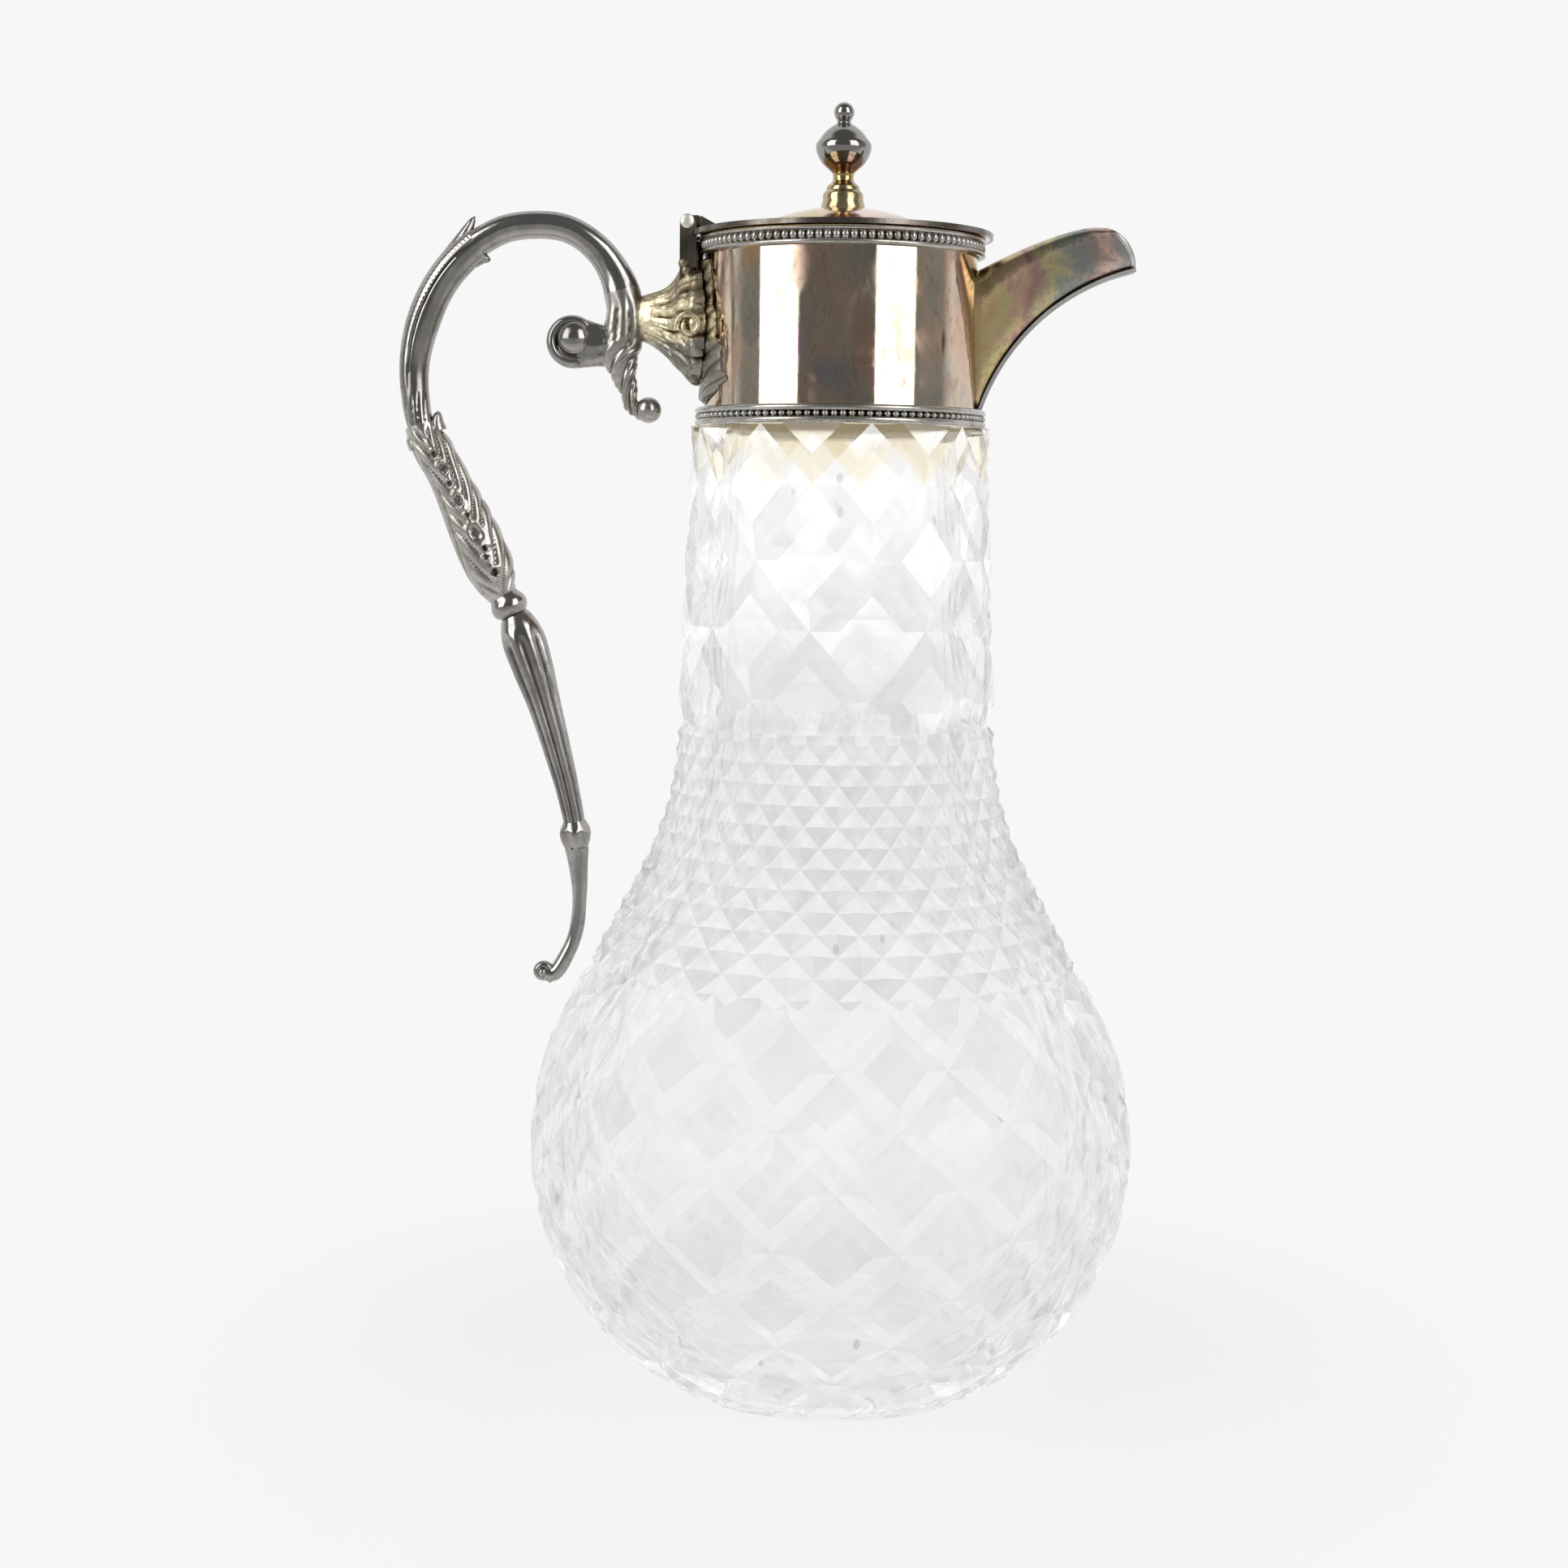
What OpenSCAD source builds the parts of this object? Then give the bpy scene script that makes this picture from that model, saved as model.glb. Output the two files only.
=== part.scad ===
// Claret jug: a cut-glass bottle with a plated collar, a beak spout, a cast
// scroll handle and a hinged lid with a turned finial.
// Millimetres. +Z is up, +X points to the spout, and the origin is the centre
// of the flat base.

/* [Glass] */
// Radius of the flat base
base_r = 38.5; // [34:0.5:42]
// Greatest radius of the bulb
bulb_r = 69; // [64:0.5:72]
// Height of the widest ring of the bulb
bulb_z = 53; // [50:0.5:56]
// Height of the ring cut at the foot of the neck
neck_base_z = 150; // [146:0.5:156]
// Radius of the neck at that ring
neck_base_r = 36; // [34.5:0.25:37.5]
// How far the top of the neck stands out beyond the collar's bottom border
neck_lip = 0.8; // [0:0.1:1.8]
// Angle of the straight shoulder flank's normal above the horizontal
shoulder_lean = 28; // [27:0.25:31]
// Thickness of the glass round the bulb
glass_wall = 7.5; // [5:0.25:9]
// Thickness of the glass floor
glass_floor = 10; // [6:0.5:14]
// Thickness of the glass round the bore at the top of the neck
plug_wall = 3.8; // [2.3:0.1:6.5]
// Depth of the two ring cuts
ring_cut = 1.2; // [0.6:0.1:1.8]
// Height of the ring cut between the bulb and the shoulder
shoulder_ring_z = 94; // [91:0.5:98]

/* [Collar] */
// Height of the collar's lower edge, where it sits on the glass
collar_z = 216.5; // [212:0.5:222]
// Height of the collar
collar_h = 41.5; // [40:0.25:46]
// Outer radius of the collar band
collar_r = 30.2; // [29.6:0.1:31]
// Thickness of the band's sheet
collar_wall = 0.8; // [0.5:0.05:1]
// Height of the glass plug that the collar covers
plug_h = 11.5; // [8:0.5:13]
// Thickness of the cement between plug and collar
cement_t = 1.6; // [1:0.1:2]
// Thickness of the ledge that covers glass and cement
ledge_t = 1; // [0.6:0.1:1.5]
// Height of each beaded border
border_h = 4; // [3.4:0.1:4.6]
// How far the top border stands out from the band
top_border_out = 1.7; // [1.2:0.1:1.9]
// How far the bottom border stands out from the band
bottom_border_out = 2.4; // [1.8:0.1:2.8]
// Half the width of the pouring window
window_half_w = 6.5; // [4:0.25:7.5]
// Height of the pouring window
window_h = 17; // [10:0.5:18]

/* [Spout] */
// How far the lip reaches beyond the band
spout_reach = 35.1; // [31:0.1:38]
// How far the mouth rises above the collar rim
spout_rise = 3.1; // [1:0.1:5]
// Half the width of the spout at the band
spout_root_half_w = 10; // [9:0.25:11]
// Half the width of the spout at its lip
spout_lip_half_w = 6.5; // [5:0.25:8]
// Thickness of the spout's sheet
spout_wall = 0.9; // [0.7:0.05:1.2]
// Radius of the hollow curve under the spout
keel_r = 47.3; // [45:0.1:50]
// Thickness of the keel strip
keel_t = 0.9; // [0.6:0.05:1.2]
// Half the width of the keel strip
keel_half_w = 2.6; // [2:0.1:3.2]

/* [Handle] */
// How far the bracket holds the handle off the band
bracket_len = 13.8; // [12.5:0.1:16]
// Half the height of the bracket at the leaf plate
arm_half_h = 14.4; // [13:0.1:15]
// Half the width of the bracket at the leaf plate
arm_half_w = 11; // [9:0.1:12]
// Thickness of the leaf plate on the band
plate_t = 1.6; // [1:0.1:2]
// Half the width of the leaf plate
plate_half_w = 18; // [16:0.25:20]
// Farthest distance of the handle from its chord
handle_bow = 50.2; // [47:0.1:54]
// Drop from the collar rim to the curl at the lower end
handle_drop = 166; // [160:0.5:170]
// Smallest gap between the lower end and the glass
tail_gap = 4; // [3:0.25:8]
// Half the thickness of the trunk at its fullest
trunk_half_t = 4.8; // [4.3:0.05:5]
// Half the thickness of the arch at its crown
arch_half_t = 3.1; // [2.6:0.05:3.6]
// Half the thickness of the leaf grip at its fullest
grip_half_t = 5.8; // [5:0.1:6.5]
// Radius of the knop ring
knop_r = 4.2; // [3.8:0.1:4.8]
// Half the thickness of the fluted stem at its top
stem_half_t = 5; // [4.3:0.1:5.4]
// Half the thickness of the tail at its thinnest
tail_half_t = 1.65; // [1.4:0.05:2.2]
// Radius of the scroll beside the trunk
volute_r = 6.1; // [5.4:0.1:6.6]

/* [Lid] */
// How far the lid's edge stands out from the band
lid_out = 3.3; // [2.8:0.1:3.6]
// Thickness of the lid's flat flange
lid_t = 0.9; // [0.7:0.05:1.2]
// Radius of the raised dome at its foot
dome_r = 22; // [18:0.25:24]
// Height of the dome above the flange
dome_h = 6; // [5:0.1:8]
// Thickness of the dome's sheet
dome_t = 0.9; // [0.7:0.05:1.1]
// Depth of the ring under the lid that centres it in the collar
bezel_h = 3; // [2:0.25:4]
// Play between that ring and the band
bezel_play = 0.9; // [0.7:0.05:1.4]
// Greatest radius of the finial
finial_r = 6.2; // [5:0.1:7]
// Radius of the bead on top of the finial
bead_r = 2.25; // [1.8:0.05:2.6]
// Radius of the stud that holds the finial
stud_r = 1.5; // [1:0.05:1.6]

/* [Hinge] */
// Distance of the hinge pin behind the band
pin_back = 4.2; // [3.9:0.05:4.4]
// Height of the hinge pin above the collar rim
pin_up = 3.1; // [2.9:0.05:3.3]
// Radius of the hinge pin
pin_r = 1; // [0.8:0.05:1.05]
// Outer radius of the knuckles
knuckle_r = 1.65; // [1.5:0.05:1.75]
// Half the length of the hinge
hinge_half = 5.5; // [4.5:0.25:6]
// Half the length of the lid's knuckle
lid_knuckle_half = 1.95; // [1.5:0.05:2.4]

/* [Hidden] */

round_fn = 96;
seam = 0.03;        // solder or cement line between two fixed pieces
running = 0.05;     // radial play of the pin in the lid's knuckle
lid_rest = 0.05;    // air under the closed lid's flange
over = 1;           // how far a cutting shape runs past a face

rim_z = collar_z + collar_h;
band_in_r = collar_r - collar_wall;
plug_r = band_in_r - cement_t;
bore_r = plug_r - plug_wall;
neck_top_r = collar_r + bottom_border_out + neck_lip;
plug_top = collar_z + plug_h;
ledge_top = plug_top + ledge_t;

// ---- Small helpers ----

// Points of an arc about c from angle a0 to a1
function arc(c, r, a0, a1, steps = 16) =
    [for (i = [0:steps]) let (a = a0 + (a1 - a0) * i / steps)
        [c.x + r * cos(a), c.y + r * sin(a)]];

// Value between a and b
function mix(a, b, u) = a + (b - a) * u;

// Smooth curve through rows of numbers at the real index t
function along(rows, t) =
    let (last = len(rows) - 1,
         i = max(0, min(last - 1, floor(t))),
         u = t - i,
         b = rows[i], c = rows[i + 1],
         a = i > 0 ? rows[i - 1] : 2 * b - c,
         d = i + 2 <= last ? rows[i + 2] : 2 * c - b)
    0.5 * (2 * b + (c - a) * u + (2 * a - 5 * b + 4 * c - d) * u * u
        + (3 * b - a - 3 * c + d) * u * u * u);

// Solid through a list of closed rings that have the same number of points
module skin(rings) {
    n = len(rings[0]);
    m = len(rings);
    polyhedron(
        points = [for (r = rings) each r],
        faces = concat(
            [[for (k = [0:n - 1]) k]],
            [[for (k = [n - 1:-1:0]) (m - 1) * n + k]],
            [for (i = [0:m - 2], k = [0:n - 1])
                let (a = i * n + k, b = i * n + (k + 1) % n) each
                    [[a, a + n, b], [b, a + n, b + n]]]));
}

module turned(outline) rotate_extrude($fn = round_fn) polygon(outline);

module across(half) {
    rotate([90, 0, 0]) translate([0, 0, -half]) linear_extrude(2 * half) children();
}

module ring(r_in, r_out, z, h) {
    translate([0, 0, z]) difference() {
        cylinder(r = r_out, h = h, $fn = round_fn);
        translate([0, 0, -over]) cylinder(r = r_in, h = h + 2 * over, $fn = round_fn);
    }
}

// ---- Glass ----

low_r = ((bulb_r - base_r) * (bulb_r - base_r) + bulb_z * bulb_z) / (2 * (bulb_r - base_r));
low_c = [bulb_r - low_r, bulb_z];
dish_r = (neck_base_r * cos(shoulder_lean) + (neck_base_z - bulb_z) * sin(shoulder_lean)
    - bulb_r) / (1 - cos(shoulder_lean));
dish_c = [neck_base_r + dish_r, neck_base_z];

// Outline of the bottle from height z up to the foot of the neck, set in by t
function bottle_side(z, t) = concat(
    arc(low_c, low_r - t, -asin((bulb_z - z) / (low_r - t)), 0),
    arc([0, bulb_z], bulb_r - t, 2, shoulder_lean, 8),
    arc(dish_c, dish_r + t, 180 + shoulder_lean, 180, 10));

// Radius of the glass on the shoulder's straight flank
function flank_r(z) = (bulb_r - (z - bulb_z) * sin(shoulder_lean)) / cos(shoulder_lean);

module ring_groove(r, z) {
    rotate_extrude($fn = round_fn) translate([r, z]) rotate(45) square(ring_cut * sqrt(2), center = true);
}

module glass_body() {
    bore_side = bottle_side(glass_floor, glass_wall);
    color([0.9, 0.94, 0.93, 0.45]) difference() {
        turned(concat([[0, 0]], bottle_side(0, 0), [[neck_top_r, collar_z], [plug_r, collar_z],
            [plug_r, plug_top], [bore_r, plug_top], [bore_r, collar_z]],
            [for (i = [len(bore_side) - 1:-1:0]) bore_side[i]], [[0, glass_floor]]));
        ring_groove(neck_base_r, neck_base_z);
        ring_groove(flank_r(shoulder_ring_z), shoulder_ring_z);
    }
}

// ---- Collar ----

window_z = ledge_top + 2;

module neck_cement() {
    color("ivory") ring(plug_r, band_in_r, collar_z, plug_h);
}

module collar_band() {
    color("rosybrown") difference() {
        ring(band_in_r, collar_r, collar_z, collar_h);
        translate([0, -window_half_w, window_z])
            cube([collar_r + over, 2 * window_half_w, window_h]);
    }
}

module collar_ledge() {
    color("silver") ring(bore_r, band_in_r, plug_top, ledge_t);
}

// Moulding with a wire along each edge and a row of beads between them
module border(out, z) {
    wire_r = 0.3 * out;
    row_r = 0.45 * out;
    face_r = collar_r + out;
    rotate_extrude($fn = round_fn) {
        translate([collar_r, z]) square([out - wire_r, border_h]);
        translate([face_r - wire_r, z + wire_r]) circle(wire_r, $fn = 24);
        translate([face_r - wire_r, z + border_h - wire_r]) circle(wire_r, $fn = 24);
        translate([face_r - row_r, z + border_h / 2]) circle(row_r, $fn = 32);
    }
}

module top_border() color("gray") border(top_border_out, rim_z - border_h);

module bottom_border() color("gray") border(bottom_border_out, collar_z);

// ---- Spout ----

spout_sides = 28;
spout_foot_gap = 0.4;
spout_foot_z = collar_z + border_h + spout_foot_gap;
keel_c_past_lip = 11.1;
keel_c_drop = 52.5;
keel_c = [collar_r + spout_reach + keel_c_past_lip, rim_z - keel_c_drop];
lip_r = 9.8;
lip_c = [collar_r + spout_reach - lip_r, rim_z + spout_rise - lip_r];
crown_x = lip_c.x;
root_drop = 2.6;
root_top_z = rim_z - border_h - root_drop;

function keel_z(x, r) =
    max(spout_foot_z, keel_c.y + sqrt(max(0, r * r - pow(keel_c.x - x, 2))));

function spout_top_z(x) =
    mix(root_top_z, rim_z + spout_rise, 1 - pow(max(0, 1 - (x - collar_r) / (crown_x - collar_r)), 1.4));

// One section of the spout: flat sides, round corners, narrower at the keel
function spout_ring(x, t) =
    let (top = spout_top_z(x) - t,
         low = keel_z(x, keel_r + keel_t) + t,
         half_w = mix(spout_root_half_w, spout_lip_half_w, (x - collar_r) / spout_reach) - t,
         mid = (top + low) / 2)
    [for (k = [0:spout_sides - 1])
        let (a = 360 * k / spout_sides,
             c = sign(cos(a)) * pow(abs(cos(a)), 0.6),
             s = sign(sin(a)) * pow(abs(sin(a)), 0.6))
        [x, half_w * c * mix(0.45, 1, (s + 1) / 2), mid + (top - low) / 2 * s]];

module spout_solid(from_x, to_x, t) {
    steps = 16;
    skin([for (i = [0:steps]) spout_ring(mix(from_x, to_x, i / steps), t)]);
}

module spout_shell() {
    tip_x = collar_r + spout_reach;
    color("darkkhaki") difference() {
        spout_solid(band_in_r - 2 * over, tip_x + over, 0);
        spout_solid(band_in_r - 3 * over, tip_x + 2 * over, spout_wall);
        cylinder(r = collar_r + seam, h = rim_z + over, $fn = round_fn);
        across(spout_root_half_w + over) difference() {
            translate([crown_x, collar_z]) square([spout_reach, 2 * collar_h]);
            translate(lip_c) circle(lip_r, $fn = 64);
            translate([crown_x - over, lip_c.y - collar_h]) square([lip_r + over, collar_h]);
        }
    }
}

module spout_keel() {
    color("silver") difference() {
        intersection() {
            across(keel_half_w) translate(keel_c) difference() {
                circle(keel_r + keel_t - seam, $fn = 2 * round_fn);
                circle(keel_r, $fn = 2 * round_fn);
            }
            translate([collar_r - over, -keel_half_w, spout_foot_z])
                cube([spout_reach + over, 2 * keel_half_w, collar_h]);
        }
        cylinder(r = collar_r + seam, h = rim_z, $fn = round_fn);
    }
}

// ---- Handle ----

handle_sides = 24;

// The handle's chord runs from the bracket to the curl by the glass
chord_drop = 18;
curl_rise = 8;
chord_top = [-(collar_r + bracket_len), rim_z - chord_drop];
chord_low_z = rim_z - handle_drop + curl_rise;
chord_low = [-(flank_r(chord_low_z) + tail_gap + tail_half_t), chord_low_z];

// Handle's route from the drop's tip up over the arch and down to the curl:
// share of the bow away from the chord, and share of the drop below the rim
ROUTE = [
    [-0.066, 0.229], [-0.026, 0.233], [0.012, 0.223], [0.040, 0.202], [0.066, 0.181],
    [0.090, 0.159], [0.090, 0.133], [0.090, 0.108], [0.098, 0.087], [0.145, 0.053],
    [0.239, 0.017], [0.376, -0.009], [0.532, -0.015], [0.687, -0.006], [0.827, 0.024],
    [0.934, 0.070], [0.994, 0.130], [1.000, 0.190], [0.948, 0.253],
    [0.863, 0.295], [0.773, 0.337], [0.690, 0.380], [0.610, 0.424], [0.540, 0.464],
    [0.472, 0.494], [0.425, 0.517], [0.367, 0.555], [0.300, 0.602], [0.235, 0.650],
    [0.175, 0.697], [0.120, 0.742], [0.070, 0.789], [0.052, 0.815], [0.034, 0.842],
    [0.012, 0.880], [0.002, 0.915], [0.006, 0.945], [0.030, 0.972], [0.082, 1.002],
    [0.150, 1.000]];

function on_handle(t) =
    let (p = along(ROUTE, t), z = rim_z - p.y * handle_drop)
    [mix(chord_top.x, chord_low.x, (chord_top.y - z) / (chord_top.y - chord_low.y))
        - p.x * handle_bow, z];

// Ring round the route at t: half thickness in the handle's plane, half width
// across it, and the depth of any flutes
function handle_ring(t, half_t, half_w, flutes = 0, depth = 0) =
    let (p = on_handle(t),
         step = on_handle(t + 0.05) - on_handle(t - 0.05),
         n = [-step.y, step.x] / norm(step))
    [for (k = [0:handle_sides - 1])
        let (a = 360 * k / handle_sides,
             f = 1 - depth * (0.5 + 0.5 * cos(a * flutes)))
        [p.x + n.x * half_t * f * cos(a), -half_w * f * sin(a), p.y + n.y * half_t * f * cos(a)]];

// Length of handle over a run of the route; shape rows are its half thickness
// and half width as shares of size
module handle_length(run, size, shape, steps, flutes = 0, depth = 0) {
    skin([for (i = [0:steps])
        let (s = size * along(shape, (len(shape) - 1) * i / steps))
        handle_ring(mix(run[0], run[1], i / steps), s.x, s.y, flutes, depth)]);
}

// Rows of the route between which each length of handle runs
TRUNK = [0.1, 8.5];
ARCH = [TRUNK[1], 13.65];
SHEATH = [ARCH[1], 18];
GRIP = [SHEATH[1], 23.6];
KNOP = [GRIP[1], 24.7];
STEM = [KNOP[1], 31.05];
TAIL_COLLAR = [STEM[1], 32.5];
TAIL = [TAIL_COLLAR[1], 38.6];

// Shape of the trunk where the arch takes over
TRUNK_TOP = [0.86, 0.79];

module handle_ball(t, r) {
    p = on_handle(t);
    translate([p.x, 0, p.y]) sphere(r, $fn = 32);
}

module trunk_solid() {
    drop_ball_r = 2.9;
    handle_length(TRUNK, trunk_half_t, [[0.31, 0.31], [0.33, 0.33], [0.4, 0.4], [0.52, 0.5],
        [0.75, 0.67], [0.96, 0.79], [1, 0.83], [0.92, 0.83], TRUNK_TOP], 24);
    handle_ball(TRUNK[0], drop_ball_r);
}

module handle_trunk() color("dimgray") trunk_solid();

module handle_volute() {
    trunk_p = on_handle(6);
    scroll_p = [trunk_p.x - 1.82 * volute_r, trunk_p.y - 0.15 * volute_r];
    neck_half = 2.6;
    color("dimgray") difference() {
        union() {
            translate([scroll_p.x, 0, scroll_p.y]) sphere(volute_r, $fn = 40);
            translate([scroll_p.x, 0, scroll_p.y]) rotate([0, 90, 0])
                cylinder(r = neck_half, h = trunk_p.x - scroll_p.x, $fn = 24);
        }
        trunk_solid();
    }
}

module arch_solid() {
    handle_length(ARCH, arch_half_t, [TRUNK_TOP * trunk_half_t / arch_half_t, [1.1, 1], [1, 1],
        [1, 1], [1, 1], [1.02, 1.02]], 26);
}

module handle_arch() color("dimgray") arch_solid();

// Pointed leaf tip that leans off the handle at t, on its inner (1) or outer
// (-1) side, towards the crown
module leaf_cusp(t, side, off, lean, length, root_r) {
    p = on_handle(t);
    step = on_handle(t + 0.05) - on_handle(t - 0.05);
    up = -step / norm(step);
    n = side * [up.y, -up.x];
    d = up * cos(lean) + n * sin(lean);
    translate([p.x + n.x * off, 0, p.y + n.y * off]) rotate([0, atan2(d.x, d.y), 0])
        cylinder(r1 = root_r, r2 = 0.15, h = length, $fn = 20);
}

module leaf_sheath() {
    t = arch_half_t;
    color("dimgray") difference() {
        union() {
            handle_length(SHEATH, t, [[1.24, 1.2], [1.22, 1.15], [1.22, 1.15], [1.06, 1], [1, 1]], 16);
            leaf_cusp(SHEATH[0] + 0.3, -1, 0.84 * t, 14, 2.9 * t, 0.48 * t);
            leaf_cusp(SHEATH[0] + 0.45, 1, 0.84 * t, 30, 1.8 * t, 0.48 * t);
        }
        arch_solid();
    }
}

module leaf_grip() {
    t = grip_half_t;
    color("gray") difference() {
        union() {
            handle_length(GRIP, t, [[0.62, 0.6], [0.8, 0.72], [0.8, 0.76], [0.86, 0.8], [0.95, 0.86],
                [1, 0.9], [0.92, 0.84], [0.56, 0.54]], 26);
            leaf_cusp(GRIP[0] + 0.5, -1, 0.48 * t, 16, 0.8 * t, 0.31 * t);
            leaf_cusp(GRIP[0] + 0.35, 1, 0.52 * t, 42, 0.93 * t, 0.34 * t);
        }
        handle_length(SHEATH, arch_half_t, [[1, 1], [1, 1]], 16);
    }
}

module knop_ring() {
    color("dimgray") handle_length(KNOP, knop_r, [[0.8, 0.8], [1, 1], [0.96, 0.96], [0.7, 0.7]], 8);
}

module fluted_stem() {
    flutes = 8;
    flute_depth = 0.12;
    color("dimgray") handle_length(STEM, stem_half_t, [[0.66, 0.66], [1, 1], [0.96, 0.96],
        [0.8, 0.8], [0.7, 0.7], [0.62, 0.62], [0.55, 0.55], [0.5, 0.5]], 20, flutes, flute_depth);
}

module tail_collar() {
    color("dimgray") handle_length(TAIL_COLLAR, tail_half_t, [[1.6, 1.6], [2.3, 2.1], [2.2, 2.0],
        [1.7, 1.6]], 8);
}

module tail_scroll() {
    curl_r = 3.1;
    color("dimgray") {
        handle_length(TAIL, tail_half_t, [[1.7, 1.6], [1.25, 1.2], [1, 1], [1, 1], [1, 1],
            [1.1, 1.1], [1.1, 1.1]], 24);
        handle_ball(TAIL[1] + 0.2, curl_r);
    }
}

// ---- Bracket ----

plate_foot_gap = 0.6;
plate_head_gap = 0.3;
plate_low_z = collar_z + border_h + plate_foot_gap;
plate_top_z = rim_z - border_h - plate_head_gap;
plate_out_r = collar_r + seam + plate_t;

// Half outline of the leaf plate: shares of its half width and of its height
PLATE_EDGE = [[0.33, 0.01], [0.67, 0.06], [1, 0.15], [0.855, 0.27], [0.89, 0.36], [0.7, 0.45],
    [0.71, 0.58], [0.555, 0.67], [0.565, 0.82], [0.445, 0.97], [0, 1]];

module bracket_plate() {
    h = plate_top_z - plate_low_z;
    half = [for (p = PLATE_EDGE) [p.x * plate_half_w, plate_low_z + p.y * h]];
    color("darkkhaki") intersection() {
        ring(collar_r + seam, plate_out_r, plate_low_z - over, h + 2 * over);
        rotate([90, 0, -90]) linear_extrude(2 * collar_r)
            polygon(concat([[0, plate_low_z]], half,
                [for (i = [len(half) - 1:-1:0]) [-half[i].x, half[i].y]]));
    }
}

// Arm rows: share of the bracket's length off the band, then its middle below
// the chord's end, half height and half width as shares of those at the plate
ARM = [[1.12, -0.014, 0.32, 0.22], [0.88, 0, 0.416, 0.364], [0.66, 0.042, 0.556, 0.49],
    [0.52, 0.056, 0.708, 0.636], [0.42, 0.035, 0.833, 0.745], [0.29, 0.069, 0.958, 0.873],
    [0.18, 0.083, 1, 0.964], [-0.10, 0.083, 1, 1]];

module arm_solid() {
    skin([for (r = ARM)
        let (x = -(collar_r + r[0] * bracket_len))
        [for (k = [0:handle_sides - 1])
            let (a = 360 * k / handle_sides)
            [x, arm_half_w * r[3] * cos(a), chord_top.y + arm_half_h * (r[2] * sin(a) - r[1])]]]);
}

module bracket_arm() {
    color("darkkhaki") difference() {
        arm_solid();
        cylinder(r = plate_out_r + seam, h = rim_z, $fn = round_fn);
        trunk_solid();
    }
}

// ---- Hinge ----

pin_x = -(collar_r + pin_back);
pin_z = rim_z + pin_up;
post_gap = 0.2;
post_front_gap = 0.5;
post_drop = 11;
post_front_x = -(collar_r + top_border_out + post_front_gap);
post_low_z = rim_z - post_drop;

module pin_bore(r) {
    translate([pin_x, 0, pin_z]) rotate([90, 0, 0])
        cylinder(r = r, h = 2 * hinge_half + 2 * over, center = true, $fn = 48);
}

module hinge_post() {
    back_x = pin_x - knuckle_r;
    color("dimgray") difference() {
        union() {
            across(hinge_half) translate([back_x, post_low_z])
                square([post_front_x - back_x, pin_z - post_low_z]);
            translate([pin_x, 0, pin_z]) rotate([90, 0, 0])
                cylinder(r = knuckle_r, h = 2 * hinge_half, center = true, $fn = 48);
        }
        translate([back_x - over, -lid_knuckle_half - post_gap, pin_z - knuckle_r - 0.4])
            cube([2 * knuckle_r + 3 * over, 2 * (lid_knuckle_half + post_gap), 3 * knuckle_r]);
        pin_bore(pin_r + seam);
        arm_solid();
    }
}

module hinge_pin() {
    color("gainsboro") translate([pin_x, 0, pin_z]) rotate([90, 0, 0])
        cylinder(r = pin_r, h = 2 * hinge_half + 0.4, center = true, $fn = 48);
}

// ---- Lid ----

lid_z = rim_z + lid_rest;
lid_top_z = lid_z + lid_t;
lid_edge_r = collar_r + lid_out;
wire_w = 0.7;
plate_r = lid_edge_r - wire_w;
dome_sphere_r = (dome_r * dome_r + dome_h * dome_h) / (2 * dome_h);
dome_top_z = lid_top_z + dome_h;
dome_c_z = dome_top_z - dome_sphere_r;
bezel_r = band_in_r - bezel_play;
notch_x = post_front_x + 0.8;

// Room for the hinge post at the back of the lid
module hinge_notch() {
    translate([-2 * collar_r, -hinge_half - 0.5, rim_z - over])
        cube([2 * collar_r + notch_x, 2 * hinge_half + 1, 6]);
}

module lid_plate() {
    color("tan") difference() {
        union() {
            translate([0, 0, lid_z]) cylinder(r = plate_r, h = lid_t, $fn = round_fn);
            intersection() {
                translate([0, 0, dome_c_z]) sphere(dome_sphere_r, $fn = round_fn);
                translate([0, 0, lid_z]) cylinder(r = dome_r, h = 2 * dome_h, $fn = round_fn);
            }
        }
        intersection() {
            translate([0, 0, dome_c_z]) sphere(dome_sphere_r - dome_t, $fn = round_fn);
            translate([0, 0, lid_z - over]) cylinder(r = dome_r - 2 * dome_t, h = 2 * dome_h, $fn = round_fn);
        }
        translate([0, 0, lid_z - over]) cylinder(r = stud_r + seam, h = 2 * dome_h, $fn = 48);
        hinge_notch();
    }
}

module lid_edge_wire() {
    color("dimgray") difference() {
        ring(plate_r, lid_edge_r, lid_z, lid_t + 0.2);
        hinge_notch();
    }
}

module lid_bezel() {
    color("silver") ring(bezel_r - dome_t, bezel_r, lid_z - bezel_h, bezel_h);
}

module lid_leaf() {
    pad_half = hinge_half - 0.6;
    pad_x = -(collar_r - 4.5);
    crest_z = pin_z + knuckle_r + 0.1;
    color("dimgray") difference() {
        union() {
            translate([pin_x, 0, pin_z]) rotate([90, 0, 0])
                cylinder(r = knuckle_r, h = 2 * lid_knuckle_half, center = true, $fn = 48);
            across(lid_knuckle_half) polygon([[pin_x, crest_z - 0.1], [notch_x - 0.6, crest_z],
                [notch_x + 0.1, crest_z - 0.4], [notch_x + 0.1, lid_top_z], [pin_x + 1.2, pin_z - 0.9],
                [pin_x, pin_z]]);
            across(pad_half) polygon([[notch_x + 0.1, crest_z - 0.4], [pad_x, lid_top_z + 0.4],
                [pad_x, lid_top_z], [notch_x + 0.1, lid_top_z]]);
        }
        pin_bore(pin_r + running);
    }
}

// ---- Finial ----

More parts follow.
